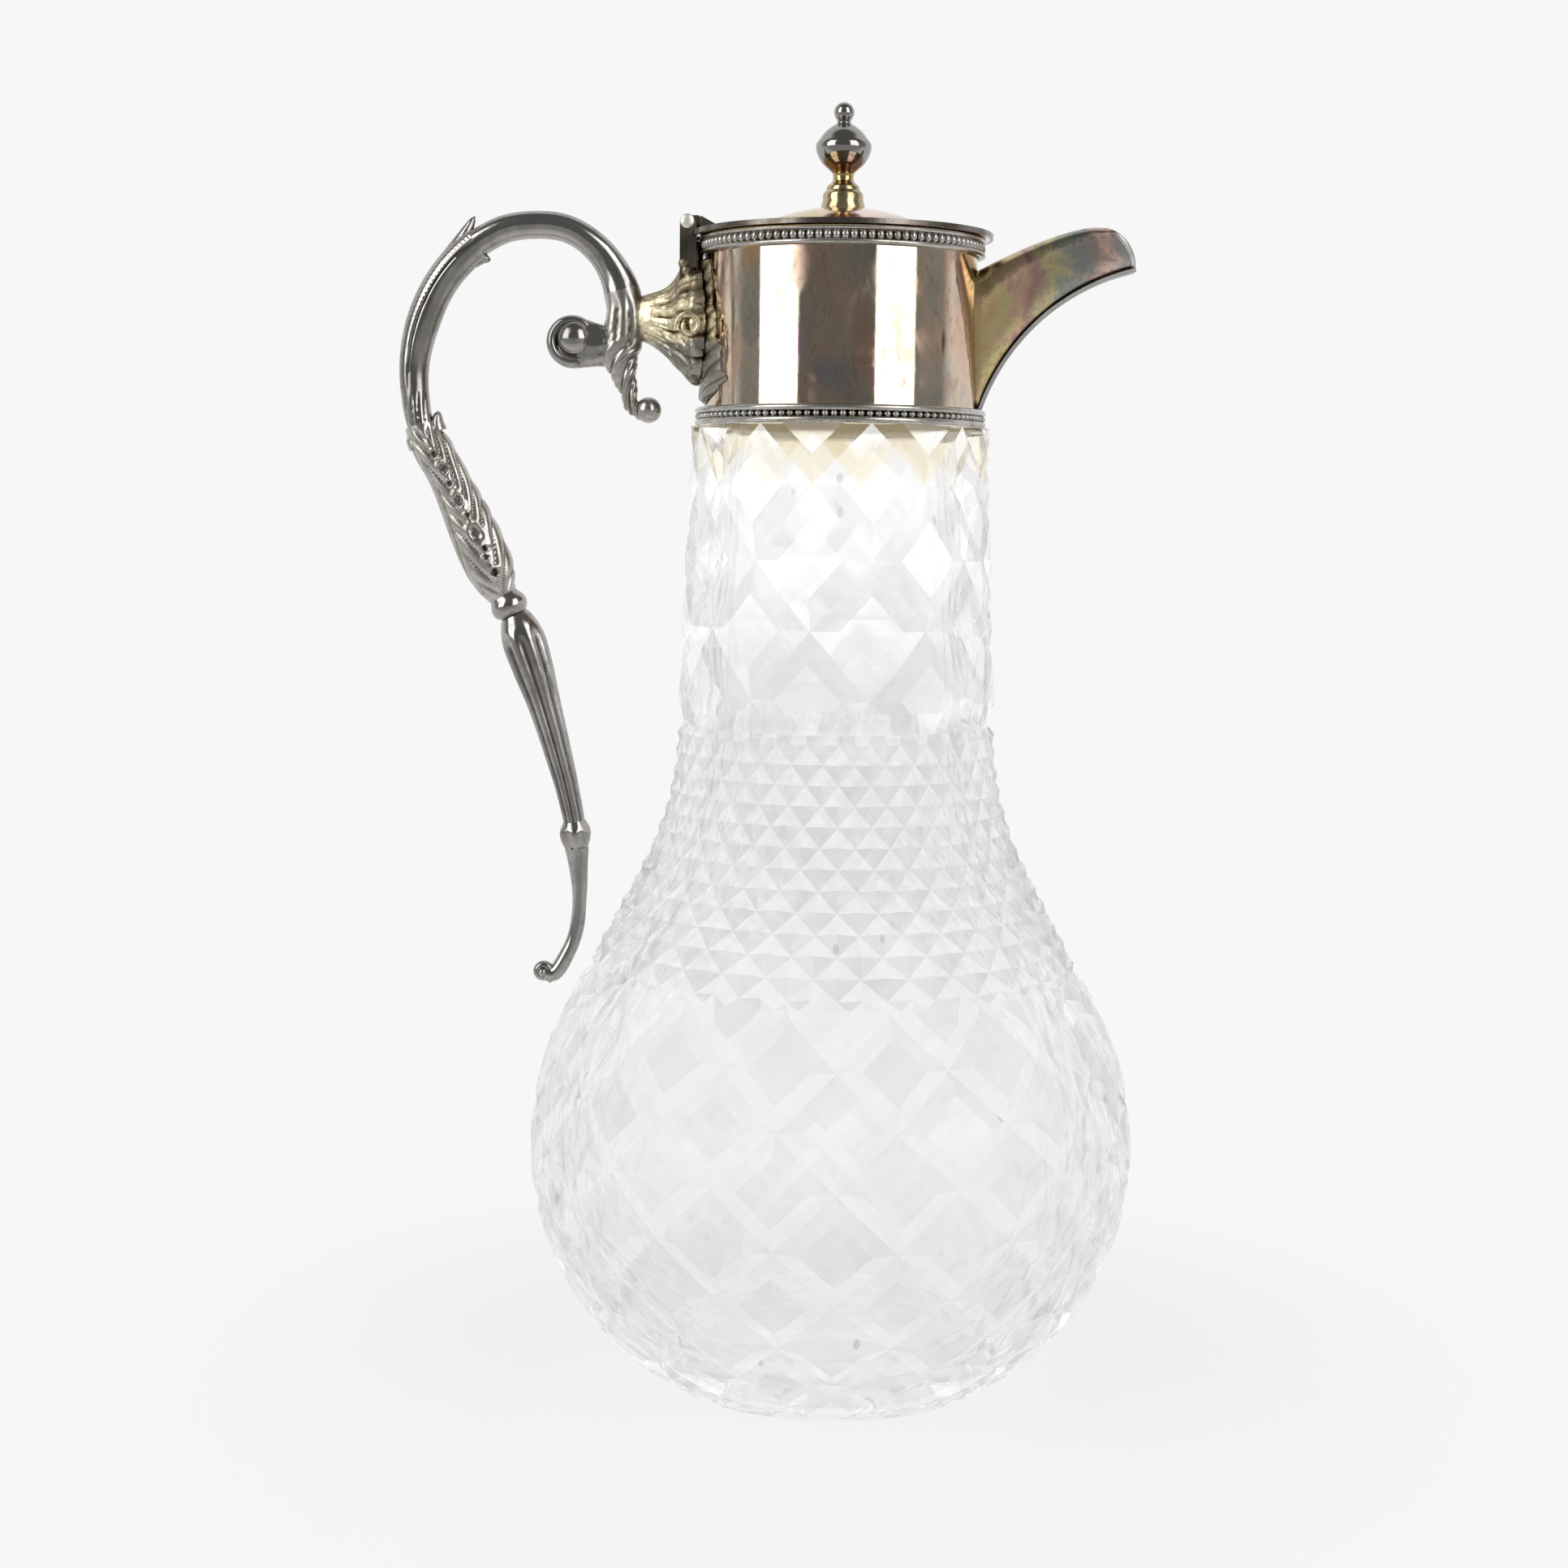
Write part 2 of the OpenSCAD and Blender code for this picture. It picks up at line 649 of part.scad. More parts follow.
foot_r = 0.79 * finial_r;
foot_h = 6.1;
neck_r = 2.3;
foot_z = dome_top_z - 0.5;
neck_z = dome_top_z + foot_h;
ball_h = 12.2;
bead_c_z = neck_z + ball_h + bead_r + 0.25;
stud_top_z = neck_z + 2.6;
nut_h = 1.7;
nut_r = 3.2;
washer_r = 4.2;
washer_t = 1;
washer_top_z = dome_c_z + sqrt(pow(dome_sphere_r - dome_t, 2) - washer_r * washer_r) - seam;
washer_low_z = washer_top_z - washer_t;

// Foot's outline, as shares of its radius and height
FOOT = [[1, 0.1], [0.93, 0.2], [0.93, 0.43], [0.82, 0.56], [0.56, 0.72]];

module finial_foot() {
    r = foot_r;
    color("goldenrod") difference() {
        turned(concat([[0, foot_z], [r, foot_z]],
            [for (p = FOOT) [p.x * r, dome_top_z + p.y * foot_h]],
            [[neck_r, dome_top_z + 0.92 * foot_h], [neck_r, neck_z], [0, neck_z]]));
        translate([0, 0, dome_c_z]) sphere(dome_sphere_r, $fn = round_fn);
        translate([0, 0, foot_z - over]) cylinder(r = stud_r + seam, h = foot_h + 3 * over, $fn = 48);
    }
}

// Ball's outline, as shares of its radius and height
BALL = [[0.58, 0.16], [0.83, 0.32], [0.95, 0.41], [1, 0.53], [0.97, 0.63], [0.84, 0.78], [0.58, 0.92],
    [0.27, 1]];

module finial() {
    color("dimgray") difference() {
        union() {
            turned(concat([[0, neck_z], [neck_r, neck_z]],
                [for (p = BALL) [p.x * finial_r, neck_z + p.y * ball_h]],
                [[0.25 * finial_r, bead_c_z], [0, bead_c_z]]));
            translate([0, 0, bead_c_z]) sphere(bead_r, $fn = 48);
        }
        translate([0, 0, neck_z - over])
            cylinder(r = stud_r + seam, h = stud_top_z - neck_z + over + seam, $fn = 48);
    }
}

module finial_stud() {
    stud_low_z = washer_low_z - nut_h - 0.8;
    color("silver") translate([0, 0, stud_low_z])
        cylinder(r = stud_r, h = stud_top_z - stud_low_z, $fn = 48);
}

module finial_washer() {
    color("silver") ring(stud_r + seam, washer_r, washer_low_z, washer_t);
}

module finial_nut() {
    color("silver") translate([0, 0, washer_low_z - nut_h]) difference() {
        cylinder(r = nut_r, h = nut_h, $fn = 6);
        translate([0, 0, -over]) cylinder(r = stud_r + seam, h = nut_h + 2 * over, $fn = 48);
    }
}

glass_body();
neck_cement();
collar_band();
collar_ledge();
top_border();
bottom_border();
spout_shell();
spout_keel();
bracket_plate();
bracket_arm();
handle_trunk();
handle_volute();
handle_arch();
leaf_sheath();
leaf_grip();
knop_ring();
fluted_stem();
tail_collar();
tail_scroll();
hinge_post();
hinge_pin();
lid_plate();
lid_edge_wire();
lid_bezel();
lid_leaf();
finial_foot();
finial();
finial_stud();
finial_washer();
finial_nut();
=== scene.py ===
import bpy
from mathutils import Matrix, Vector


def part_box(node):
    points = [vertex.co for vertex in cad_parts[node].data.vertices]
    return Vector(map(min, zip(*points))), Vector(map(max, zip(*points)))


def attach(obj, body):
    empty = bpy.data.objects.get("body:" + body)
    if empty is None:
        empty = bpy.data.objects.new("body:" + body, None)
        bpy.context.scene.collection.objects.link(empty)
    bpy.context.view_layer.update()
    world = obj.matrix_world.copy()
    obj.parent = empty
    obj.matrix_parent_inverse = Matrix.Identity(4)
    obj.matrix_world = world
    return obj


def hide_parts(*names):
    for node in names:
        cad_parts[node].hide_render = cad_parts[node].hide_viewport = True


bl_info = {
    "name": "Claret Jug",
    "version": (1, 0, 0),
    "blender": (4, 5, 0),
    "location": "3D View > Sidebar > Claret Jug",
    "description": "Cut glass, beaded collar, carved handle and finishes of a claret jug",
    "category": "Object",
}

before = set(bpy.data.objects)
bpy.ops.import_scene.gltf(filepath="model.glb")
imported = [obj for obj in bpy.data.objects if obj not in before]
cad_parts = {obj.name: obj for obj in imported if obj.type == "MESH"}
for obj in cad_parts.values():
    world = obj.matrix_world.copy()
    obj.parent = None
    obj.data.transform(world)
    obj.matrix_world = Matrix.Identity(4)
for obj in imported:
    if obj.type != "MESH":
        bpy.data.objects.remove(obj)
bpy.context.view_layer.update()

import math

import bmesh
import bpy
import numpy as np
from mathutils import Matrix, Vector

MM = 0.001
TURN = 2 * math.pi
SAME_PLACE, SLIVER = 2e-6, 1e-6   # in metres: nearer points are one, and shorter edges are taken out

# Sizes that the solids are built to, in millimetres
BASE_R, BULB_R, BULB_Z = 38.5, 69.0, 53.0
NECK_BASE_Z, NECK_BASE_R = 150.0, 36.0
SHOULDER_LEAN = math.radians(28)
GLASS_WALL, GLASS_FLOOR = 7.5, 10.0
COLLAR_Z, COLLAR_H, COLLAR_R, COLLAR_WALL = 216.5, 41.5, 30.2, 0.8
RIM_Z = COLLAR_Z + COLLAR_H
BORDER_H, TOP_OUT, BOTTOM_OUT = 4.0, 1.7, 2.4
NECK_TOP_R = COLLAR_R + BOTTOM_OUT + 0.8
BAND_IN_R = COLLAR_R - COLLAR_WALL
PLUG_R, PLUG_TOP, BORE_R = BAND_IN_R - 1.6, COLLAR_Z + 11.5, BAND_IN_R - 1.6 - 3.8
WINDOW_HALF_W, WINDOW_Z, WINDOW_H = 6.5, PLUG_TOP + 3.0, 17.0
SEAM = 0.03
SPOUT_REACH, SPOUT_RISE, SPOUT_WALL = 35.1, 3.1, 0.9
SPOUT_ROOT_HALF_W, SPOUT_LIP_HALF_W = 10.0, 6.5
KEEL_R, KEEL_T = 47.3, 0.9
BRACKET_LEN, PLATE_T, PLATE_HALF_W = 13.8, 1.6, 18.0
ARM_HALF_H, ARM_HALF_W = 14.4, 11.0
HANDLE_BOW, HANDLE_DROP = 50.2, 166.0
TRUNK_HALF_T, ARCH_HALF_T, GRIP_HALF_T = 4.8, 3.1, 5.8
KNOP_R, STEM_HALF_T, TAIL_HALF_T = 4.2, 5.0, 1.65
VOLUTE_R = 6.1
LID_TOP_Z = RIM_Z + 0.05 + 0.9
DOME_TOP_Z = LID_TOP_Z + 6.0
FINIAL_R, BEAD_R = 6.2, 2.25


# ---- Small helpers ----

def mix(a, b, u):
    return a + (b - a) * u


def smooth(lo, hi, x):
    u = np.clip((np.asarray(x, float) - lo) / (hi - lo), 0, 1)
    return u * u * (3 - 2 * u)


def along(rows, t):
    """Smooth curve through rows of numbers at the real index t."""
    rows = np.asarray(rows, float)
    last = len(rows) - 1
    i = max(0, min(last - 1, int(math.floor(t))))
    u = t - i
    b, c = rows[i], rows[i + 1]
    a = rows[i - 1] if i > 0 else 2 * b - c
    d = rows[i + 2] if i + 2 <= last else 2 * c - b
    return 0.5 * (2 * b + (c - a) * u + (2 * a - 5 * b + 4 * c - d) * u * u
                  + (3 * b - a - 3 * c + d) * u ** 3)


def arc(centre, r, a0, a1, steps):
    return [(centre[0] + r * math.cos(mix(a0, a1, i / steps)),
             centre[1] + r * math.sin(mix(a0, a1, i / steps))) for i in range(steps + 1)]


def around(r, turn, z):
    """Point at radius r and height z; turn is 0 towards the viewer and grows to the right."""
    return (r * math.sin(turn), -r * math.cos(turn), z)


def new_object(name, data):
    """Object with its data, put into the scene."""
    made = bpy.data.objects.new(name, data)
    bpy.context.scene.collection.objects.link(made)
    return made


def new_mesh(name, points, faces):
    """Mesh from points in millimetres."""
    mesh = bpy.data.meshes.new(name)
    mesh.from_pydata([tuple(c * MM for c in p) for p in points], [], faces)
    return mesh


def keep_hollow(mesh, hollow):
    """Keeps how hollow each point is, for the finishes to darken with painted shade."""
    kept = mesh.attributes.new("hollow", "FLOAT", "POINT")
    kept.data.foreach_set("value", np.asarray(hollow, np.float32))


def finish_shading(mesh, sharp):
    mesh.shade_smooth()
    mesh.set_sharp_from_angle(angle=math.radians(sharp))


def mesh_piece(name, points, faces, sharp, hollow=None):
    """Closed piece from points in millimetres; edges past the angle sharp, in degrees, stay hard."""
    mesh = new_mesh(name, points, faces)
    if hollow is not None:
        keep_hollow(mesh, hollow)
    bm = bmesh.new()
    bm.from_mesh(mesh)
    bmesh.ops.remove_doubles(bm, verts=bm.verts[:], dist=SAME_PLACE)
    bmesh.ops.dissolve_degenerate(bm, dist=SLIVER, edges=bm.edges[:])
    bmesh.ops.recalc_face_normals(bm, faces=bm.faces[:])
    bm.to_mesh(mesh)
    bm.free()
    finish_shading(mesh, sharp)
    return new_object(name, mesh)


def capped_tube(name, points, sides, ends, sharp, hollow, end_hollow=0.0):
    """Closed tube from rows of points that go round, with a fan of faces to a point at each end."""
    rows = len(points) // sides
    faces = grid_faces(rows, sides)
    for first, end in ((0, ends[0]), ((rows - 1) * sides, ends[1])):
        points.append(end)
        hollow.append(end_hollow)
        faces += [(first + k, first + (k + 1) % sides, len(points) - 1) for k in range(sides)]
    return mesh_piece(name, points, faces, sharp, hollow)


def grid_faces(rows, columns, start=0, closed=True):
    """Quads between rows of points that go round."""
    wrap = columns if closed else columns - 1
    return [(start + i * columns + k, start + i * columns + (k + 1) % columns,
             start + (i + 1) * columns + (k + 1) % columns, start + (i + 1) * columns + k)
            for i in range(rows - 1) for k in range(wrap)]


def lathe(name, outline, sides, sharp):
    """Turned piece from an outline of (radius, height); a radius of 0 closes it at the axis."""
    points, faces, rings = [], [], []
    for r, z in outline:
        if r < 1e-6:
            rings.append([len(points)])
            points.append((0, 0, z))
        else:
            rings.append(list(range(len(points), len(points) + sides)))
            points += [around(r, TURN * k / sides, z) for k in range(sides)]
    closed = outline[0][0] > 1e-6
    for a, b in zip(rings, rings[1:] + (rings[:1] if closed else [])):
        for k in range(sides):
            j = (k + 1) % sides
            if len(a) == 1 and len(b) == 1:
                continue
            if len(a) == 1:
                faces.append((a[0], b[k], b[j]))
            elif len(b) == 1:
                faces.append((a[k], a[j], b[0]))
            else:
                faces.append((a[k], a[j], b[j], b[k]))
    return mesh_piece(name, points, faces, sharp)


def rounded(outline, steps=4):
    """Outline with smooth curves through its points."""
    count = (len(outline) - 1) * steps
    return [tuple(max(0.0, v) if n == 0 else v for n, v in
                  enumerate(along(outline, (len(outline) - 1) * i / count))) for i in range(count + 1)]


def dress(piece, material, body, *nodes, slot=None):
    """Gives a piece its finish, its body and the solids it stands for, which it hides; slot is not used."""
    piece.data.materials.clear()
    piece.data.materials.append(material)
    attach(piece, body)
    if nodes:
        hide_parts(*nodes)


def paint_node(node, material):
    """Gives a solid that stays in view its finish."""
    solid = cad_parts[node]
    solid.data.materials.clear()
    solid.data.materials.append(material)


def join_pieces(name, pieces):
    """One mesh from several pieces."""
    bm = bmesh.new()
    for piece in pieces:
        part = piece.data
        bm.from_mesh(part)
        bpy.data.objects.remove(piece)
        bpy.data.meshes.remove(part)
    mesh = bpy.data.meshes.new(name)
    bm.to_mesh(mesh)
    bm.free()
    return new_object(name, mesh)


def shifted(piece, y):
    """Moves a piece along y, in metres."""
    for v in piece.data.vertices:
        v.co.y += y
    return piece


# ---- Node fields for finishes ----

class Field:
    """A value in a node tree that sums and products can be written with."""

    def __init__(self, tree, socket):
        self.tree, self.socket = tree, socket

    def math(self, operation, *others, swap=False):
        node = self.tree.nodes.new("ShaderNodeMath")
        node.operation = operation
        values = [self, *others]
        if swap:
            values.reverse()
        for socket, value in zip(node.inputs, values):
            if isinstance(value, Field):
                self.tree.links.new(value.socket, socket)
            else:
                socket.default_value = value
        return Field(self.tree, node.outputs[0])

    def __add__(self, other):
        return self.math("ADD", other)

    def __sub__(self, other):
        return self.math("SUBTRACT", other)

    def __rsub__(self, other):
        return self.math("SUBTRACT", other, swap=True)

    def __mul__(self, other):
        return self.math("MULTIPLY", other)

    __radd__, __rmul__ = __add__, __mul__

    def clamp(self):
        return self.math("MINIMUM", 1.0).math("MAXIMUM", 0.0)

    def step(self, lo, hi):
        """0 below lo, 1 above hi and smooth between."""
        node = self.tree.nodes.new("ShaderNodeMapRange")
        node.interpolation_type = "SMOOTHSTEP"
        self.tree.links.new(self.socket, node.inputs["Value"])
        node.inputs["From Min"].default_value = lo
        node.inputs["From Max"].default_value = hi
        return Field(self.tree, node.outputs["Result"])


class Finish:
    """A material and the nodes that make it."""

    def __init__(self, name):
        self.material = bpy.data.materials.new(name)
        self.material.use_nodes = True
        self.tree = self.material.node_tree
        self.tree.nodes.clear()
        self.out = self.tree.nodes.new("ShaderNodeOutputMaterial")

    def add(self, kind, settings=None, out=0, **values):
        """A node of a kind; settings are set first, then the values or links of its sockets."""
        node = self.tree.nodes.new(kind)
        for key, value in (settings or {}).items():
            if key == "stops":
                stops = node.color_ramp.elements
                while len(stops) < len(value):
                    stops.new(0.5)
                for stop, (at, colour) in zip(stops, value):
                    stop.position, stop.color = at, (*colour, 1.0)
            else:
                setattr(node, key, value)
        for key, value in values.items():
            socket = node.inputs[int(key[1:]) if key[0] == "_" else key.replace("_", " ")]
            if isinstance(value, Field):
                self.tree.links.new(value.socket, socket)
            elif socket.type == "RGBA" and len(value) == 3:
                socket.default_value = (*value, 1.0)
            else:
                socket.default_value = value
        return Field(self.tree, node.outputs[out])

    def place(self, stretch=(1, 1, 1)):
        """Place on the object in metres, squeezed by stretch."""
        where = self.add("ShaderNodeTexCoord", out="Object")
        return self.add("ShaderNodeMapping", Vector=where, Scale=stretch)

    def noise(self, size, detail=3.0, rough=0.5, stretch=(1, 1, 1), wander=0.0):
        """Cloudy value with clouds of a size in millimetres."""
        return self.add("ShaderNodeTexNoise", Vector=self.place(stretch), Scale=1.0 / (size * MM),
                        Detail=detail, Roughness=rough, Distortion=wander)

    def spot(self, centre, size, wander):
        """1 in a soft spot about a place in millimetres and 0 outside its size."""
        offset = self.add("ShaderNodeVectorMath", {"operation": "SUBTRACT"}, out="Vector",
                          _0=self.add("ShaderNodeTexCoord", out="Object"), _1=tuple(c * MM for c in centre))
        scaled = self.add("ShaderNodeVectorMath", {"operation": "MULTIPLY"}, out="Vector",
                          _0=offset, _1=tuple(1.0 / (s * MM) for s in size))
        far = self.add("ShaderNodeVectorMath", {"operation": "LENGTH"}, out="Value", _0=scaled)
        return (far + wander).step(1.2, 0.3)

    def mix(self, share, a, b):
        """Colour a where share is 0 and b where it is 1."""
        return self.add("ShaderNodeMix", {"data_type": "RGBA"}, out=2, _0=share, _6=a, _7=b)

    def ramp(self, share, stops):
        """Colour that runs through stops, each a place and a colour."""
        return self.add("ShaderNodeValToRGB", {"stops": stops}, Fac=share)

    def attribute(self, name):
        return self.add("ShaderNodeAttribute", {"attribute_name": name}, out="Fac")

    def axis(self, n):
        """Coordinate n of the place on the object, in metres."""
        where = self.add("ShaderNodeTexCoord", out="Object")
        return self.add("ShaderNodeSeparateXYZ", out=n, Vector=where)

    def bump(self, height, depth):
        return self.add("ShaderNodeBump", Height=height, Distance=depth * MM, Strength=1.0)

    def surface(self, **values):
        shader = self.add("ShaderNodeBsdfPrincipled", **values)
        self.tree.links.new(shader.socket, self.out.inputs["Surface"])
        return self.material

    def metal(self, colour, rough, normal):
        return self.surface(Base_Color=colour, Metallic=1.0, Roughness=rough, Normal=normal)


def tarnished(name, bright, dull, deep, rough, patch, carved=False, marks=0.3):
    """Old silver plate: bright where it is rubbed, dull in patches, with deep-coloured marks, and on carved
    pieces painted shade in the hollows.
    """
    f = Finish(name)
    cloud = f.noise(patch, 4.0, 0.55, wander=0.4)
    fine = f.noise(patch * 0.16, 5.0, 0.6)
    colour = f.mix(cloud.step(0.42, 0.66), bright, dull)
    colour = f.mix((fine.step(0.5, 0.72) * marks).clamp(), colour, deep)
    roughness = rough + fine.step(0.4, 0.75) * 0.12 + cloud.step(0.45, 0.7) * 0.06
    if carved:
        # painted shade: the hollows of carved pieces are darkened towards the deep colour, mottled by the
        # fine cloud, and made rougher
        hollow_shade = (f.attribute("hollow").step(0.35, 0.95) * (0.55 + fine * 0.6)).clamp()
        colour = f.mix(hollow_shade, colour, deep)
        roughness = roughness + hollow_shade * 0.22
    scratch = f.noise(0.35, 3.0, 0.6, stretch=(1, 1, 0.08))
    normal = f.bump(fine * 0.7 + scratch * 0.3, 0.012)
    return f.metal(colour, roughness.clamp(), normal)


GLASS_IOR = 1.13   # weaker than real glass, so that the far side doesn't muddle the cuts


def cut_glass_finish():
    """Clear cut glass with a faint ripple and painted shade: each facet has a painted grey of its own, some a
    painted khaki reflection of the cement, and a few a painted dark glint.
    """
    colour = tuple(bpy.context.scene.jug_glass.tint)
    f = Finish("cut_glass")
    ripple = f.noise(14.0, 2.0, 0.5)
    grain = f.noise(1.2, 3.0, 0.5)
    shade, warm = f.attribute("shade"), f.attribute("warm")
    chip = f.add("ShaderNodeTexVoronoi", Vector=f.place((1, 1, 0.6)), Scale=1 / (5.0 * MM))
    lot = f.add("ShaderNodeSeparateColor", Color=Field(f.tree, chip.socket.node.outputs["Color"]))
    # painted reflection: sparse dark glints on the shaded facets
    painted_dark_glint = chip.step(0.2, 0.12) * lot.step(0.88, 0.9) * shade.step(0.1, 0.2)
    # painted shade: each facet is greyed by its shade attribute, with the ripple
    tint = f.mix((shade + ripple.step(0.4, 0.7) * 0.1).clamp(), colour, tuple(c * 0.58 for c in colour))
    # painted reflection of the cement in the first neck cuts, which are also more opaque
    tint = f.mix(warm, tint, (0.72, 0.61, 0.38))
    tint = f.mix(painted_dark_glint * 0.8, tint, (0.20, 0.21, 0.20))
    return f.surface(Base_Color=tint, Metallic=0.0, Roughness=(0.04 + grain.step(0.55, 0.8) * 0.05),
                     IOR=GLASS_IOR, Transmission_Weight=0.9, Alpha=(0.62 + warm * 0.33),
                     Normal=f.bump(ripple, 0.03))


def blend(f, colour, layers):
    """Colour with layers laid over it in turn, each a share and a colour."""
    for share, tint in layers:
        colour = f.mix(share, colour, tint)
    return colour

# Tarnish blooms on the band: place in millimetres, size across and upright, strength and colour
BLOOMS = [
    ((-12.6, -27.4, 233.6), (4.6, 5.4), 0.5, (0.95, 0.34, 0.85)),
    ((9.8, -28.5, 227.0), (5.0, 5.0), 0.55, (0.98, 0.34, 0.55)),
    ((-15.9, -25.7, 226.8), (3.6, 3.6), 0.5, (0.50, 0.56, 0.85)),
    ((-3.6, -30.0, 227.0), (4.0, 4.6), 0.6, (0.34, 0.38, 0.46)),
    ((4.0, -29.9, 235.0), (3.4, 9.0), 0.5, (0.66, 0.36, 0.26)),
    ((21.6, -21.1, 234.5), (0.9, 3.6), 0.85, (0.08, 0.07, 0.065)),
    ((-20.2, -22.4, 252.0), (3.0, 4.0), 0.7, (0.80, 0.46, 0.20)),
    ((14.0, -26.7, 218.5), (8.0, 2.0), 0.5, (0.86, 0.52, 0.30))]


def band_finish():
    """Polished band: rose and brown tarnish in clouds, with a few violet, slate and rust blooms."""
    f = Finish("collar_plate")
    cloud = f.noise(15.0, 4.0, 0.6, stretch=(1, 1, 0.55), wander=0.6)
    bloom = f.noise(7.0, 3.0, 0.5, stretch=(1, 1, 0.5), wander=0.5)
    speck = f.noise(1.1, 5.0, 0.7, stretch=(1, 1, 0.4))
    colour = f.ramp(cloud, [
        (0.32, (0.62, 0.40, 0.29)), (0.44, (0.66, 0.50, 0.38)), (0.54, (0.62, 0.54, 0.42)),
        (0.66, (0.46, 0.43, 0.36))])
    colour = blend(f, colour, [(bloom.step(0.52, 0.68) * 0.5, (0.56, 0.36, 0.28)),
                               (bloom.step(0.46, 0.3) * 0.5, (0.42, 0.41, 0.35))])
    wander = (bloom - 0.5) * 1.2
    colour = blend(f, colour, [(f.spot(centre, (wide, wide, high), wander) * strength, tint)
                               for centre, (wide, high), strength, tint in BLOOMS])
    colour = f.mix(speck.step(0.5, 0.72) * 0.55, colour, (0.22, 0.16, 0.12))
    wave = f.noise(22.0, 1.0, 0.4)
    rough = 0.05 + speck.step(0.45, 0.8) * 0.1 + bloom.step(0.48, 0.7) * 0.2
    return f.metal(colour, rough, f.bump(wave * 0.9 + speck * 0.05, 0.05))


def spout_finish():
    """Spout's tarnish in bands along its reach: olive, rose, olive, slate and rose at the lip."""
    f = Finish("spout_plate")
    cloud = f.noise(8.0, 4.0, 0.6, wander=0.7)
    fine = f.noise(1.3, 5.0, 0.65)
    reach = f.axis(0) * (1 / MM / SPOUT_REACH) - COLLAR_R / SPOUT_REACH + (cloud - 0.5) * 0.8
    colour = f.ramp(reach, [
        (0.0, (0.50, 0.36, 0.19)), (0.13, (0.52, 0.44, 0.22)), (0.24, (0.54, 0.35, 0.25)),
        (0.33, (0.36, 0.23, 0.20)), (0.45, (0.50, 0.43, 0.24)), (0.6, (0.24, 0.26, 0.24)),
        (0.72, (0.32, 0.26, 0.23)), (0.84, (0.60, 0.42, 0.35)), (0.97, (0.32, 0.31, 0.30))])
    colour = f.mix(fine.step(0.48, 0.72) * 0.45, colour, (0.12, 0.10, 0.075))
    return f.metal(colour, 0.22 + fine.step(0.4, 0.75) * 0.16, f.bump(fine * 0.5 + cloud, 0.04))


def bracket_finish():
    """Cast bracket: yellow tarnish across its middle, placed and brightened there as a painted highlight,
    olive grey below, browner above, with dark marks and painted shade in the folds.
    """
    f = Finish("bracket_plate")
    cloud = f.noise(6.0, 4.0, 0.55, wander=0.4)
    fine = f.noise(1.0, 5.0, 0.6)
    up = f.axis(2) * (1 / MM) + (cloud - 0.5) * 7.0
    # painted shade: where the hollow attribute is high, the folds are darkened to a deep brown and made
    # rougher
    hollow_shade = (f.attribute("hollow").step(0.25, 0.9) * (0.55 + fine * 0.6)).clamp()
    gold = tuple(bpy.context.scene.jug_metal.gold)
    # painted highlight: the yellow band sits at the height where the bracket catches the light, over its
    # yellow tarnish
    colour = blend(f, (0.33, 0.32, 0.29), [
        (up.step(233.5, 236.5), gold), (up.step(241.5, 246.5), (0.34, 0.285, 0.19)),
        (fine.step(0.46, 0.62) * 0.6, (0.24, 0.20, 0.13)), (hollow_shade, (0.12, 0.095, 0.06))])
    return f.metal(colour, 0.26 + fine * 0.16 + hollow_shade * 0.15, f.bump(fine * 0.6 + cloud, 0.22))


def lid_finish():
    """Lid: rose over the dome, yellower on one side, with brown at the rim."""
    f = Finish("lid_plate")
    cloud = f.noise(14.0, 4.0, 0.55, wander=0.5)
    fine = f.noise(1.0, 5.0, 0.65)
    side = f.axis(0) * (1 / MM) + (cloud - 0.5) * 16.0
    colour = blend(f, (0.66, 0.50, 0.27), [
        (side.step(-7.0, 2.0), (0.80, 0.62, 0.53)), (side.step(6.0, 15.0), (0.56, 0.42, 0.36)),
        (fine.step(0.5, 0.75) * 0.3, (0.30, 0.22, 0.15))])
    return f.metal(colour, 0.11 + fine.step(0.4, 0.75) * 0.12, f.bump(fine * 0.3 + cloud, 0.03))


def cement_finish():
    f = Finish("cement")
    grain = f.noise(0.8, 6.0, 0.7)
    stain = f.noise(6.0, 3.0, 0.5)
    colour = f.mix(stain.step(0.35, 0.7), (0.90, 0.78, 0.52), (0.78, 0.62, 0.36))
    return f.surface(Base_Color=colour, Roughness=0.75 + grain * 0.2, Normal=f.bump(grain, 0.06))


def finial_finish():
    """Finial: grey plate on top, worn through to brown and yellow metal below."""
    f = Finish("finial_steel")
    cloud = f.noise(4.0, 4.0, 0.55)
    fine = f.noise(0.9, 5.0, 0.6)
    up = f.axis(2) * (1 / MM) + (cloud - 0.5) * 3.0
    colour = blend(f, tuple(c * 0.85 for c in bpy.context.scene.jug_metal.steel), [
        (up.step(276.2, 273.6), (0.20, 0.115, 0.065)), (up.step(273.2, 271.6), (0.50, 0.37, 0.17)),
        (fine.step(0.52, 0.75) * 0.3, (0.04, 0.03, 0.025))])
    return f.metal(colour, 0.07 + fine.step(0.4, 0.75) * 0.1, f.bump(fine, 0.01))


MAKERS = {"cut_glass": cut_glass_finish, "cement": cement_finish, "collar_plate": band_finish,
          "spout_plate": spout_finish, "bracket_plate": bracket_finish, "lid_plate": lid_finish,
          "finial_steel": finial_finish}
FINISHES = {}


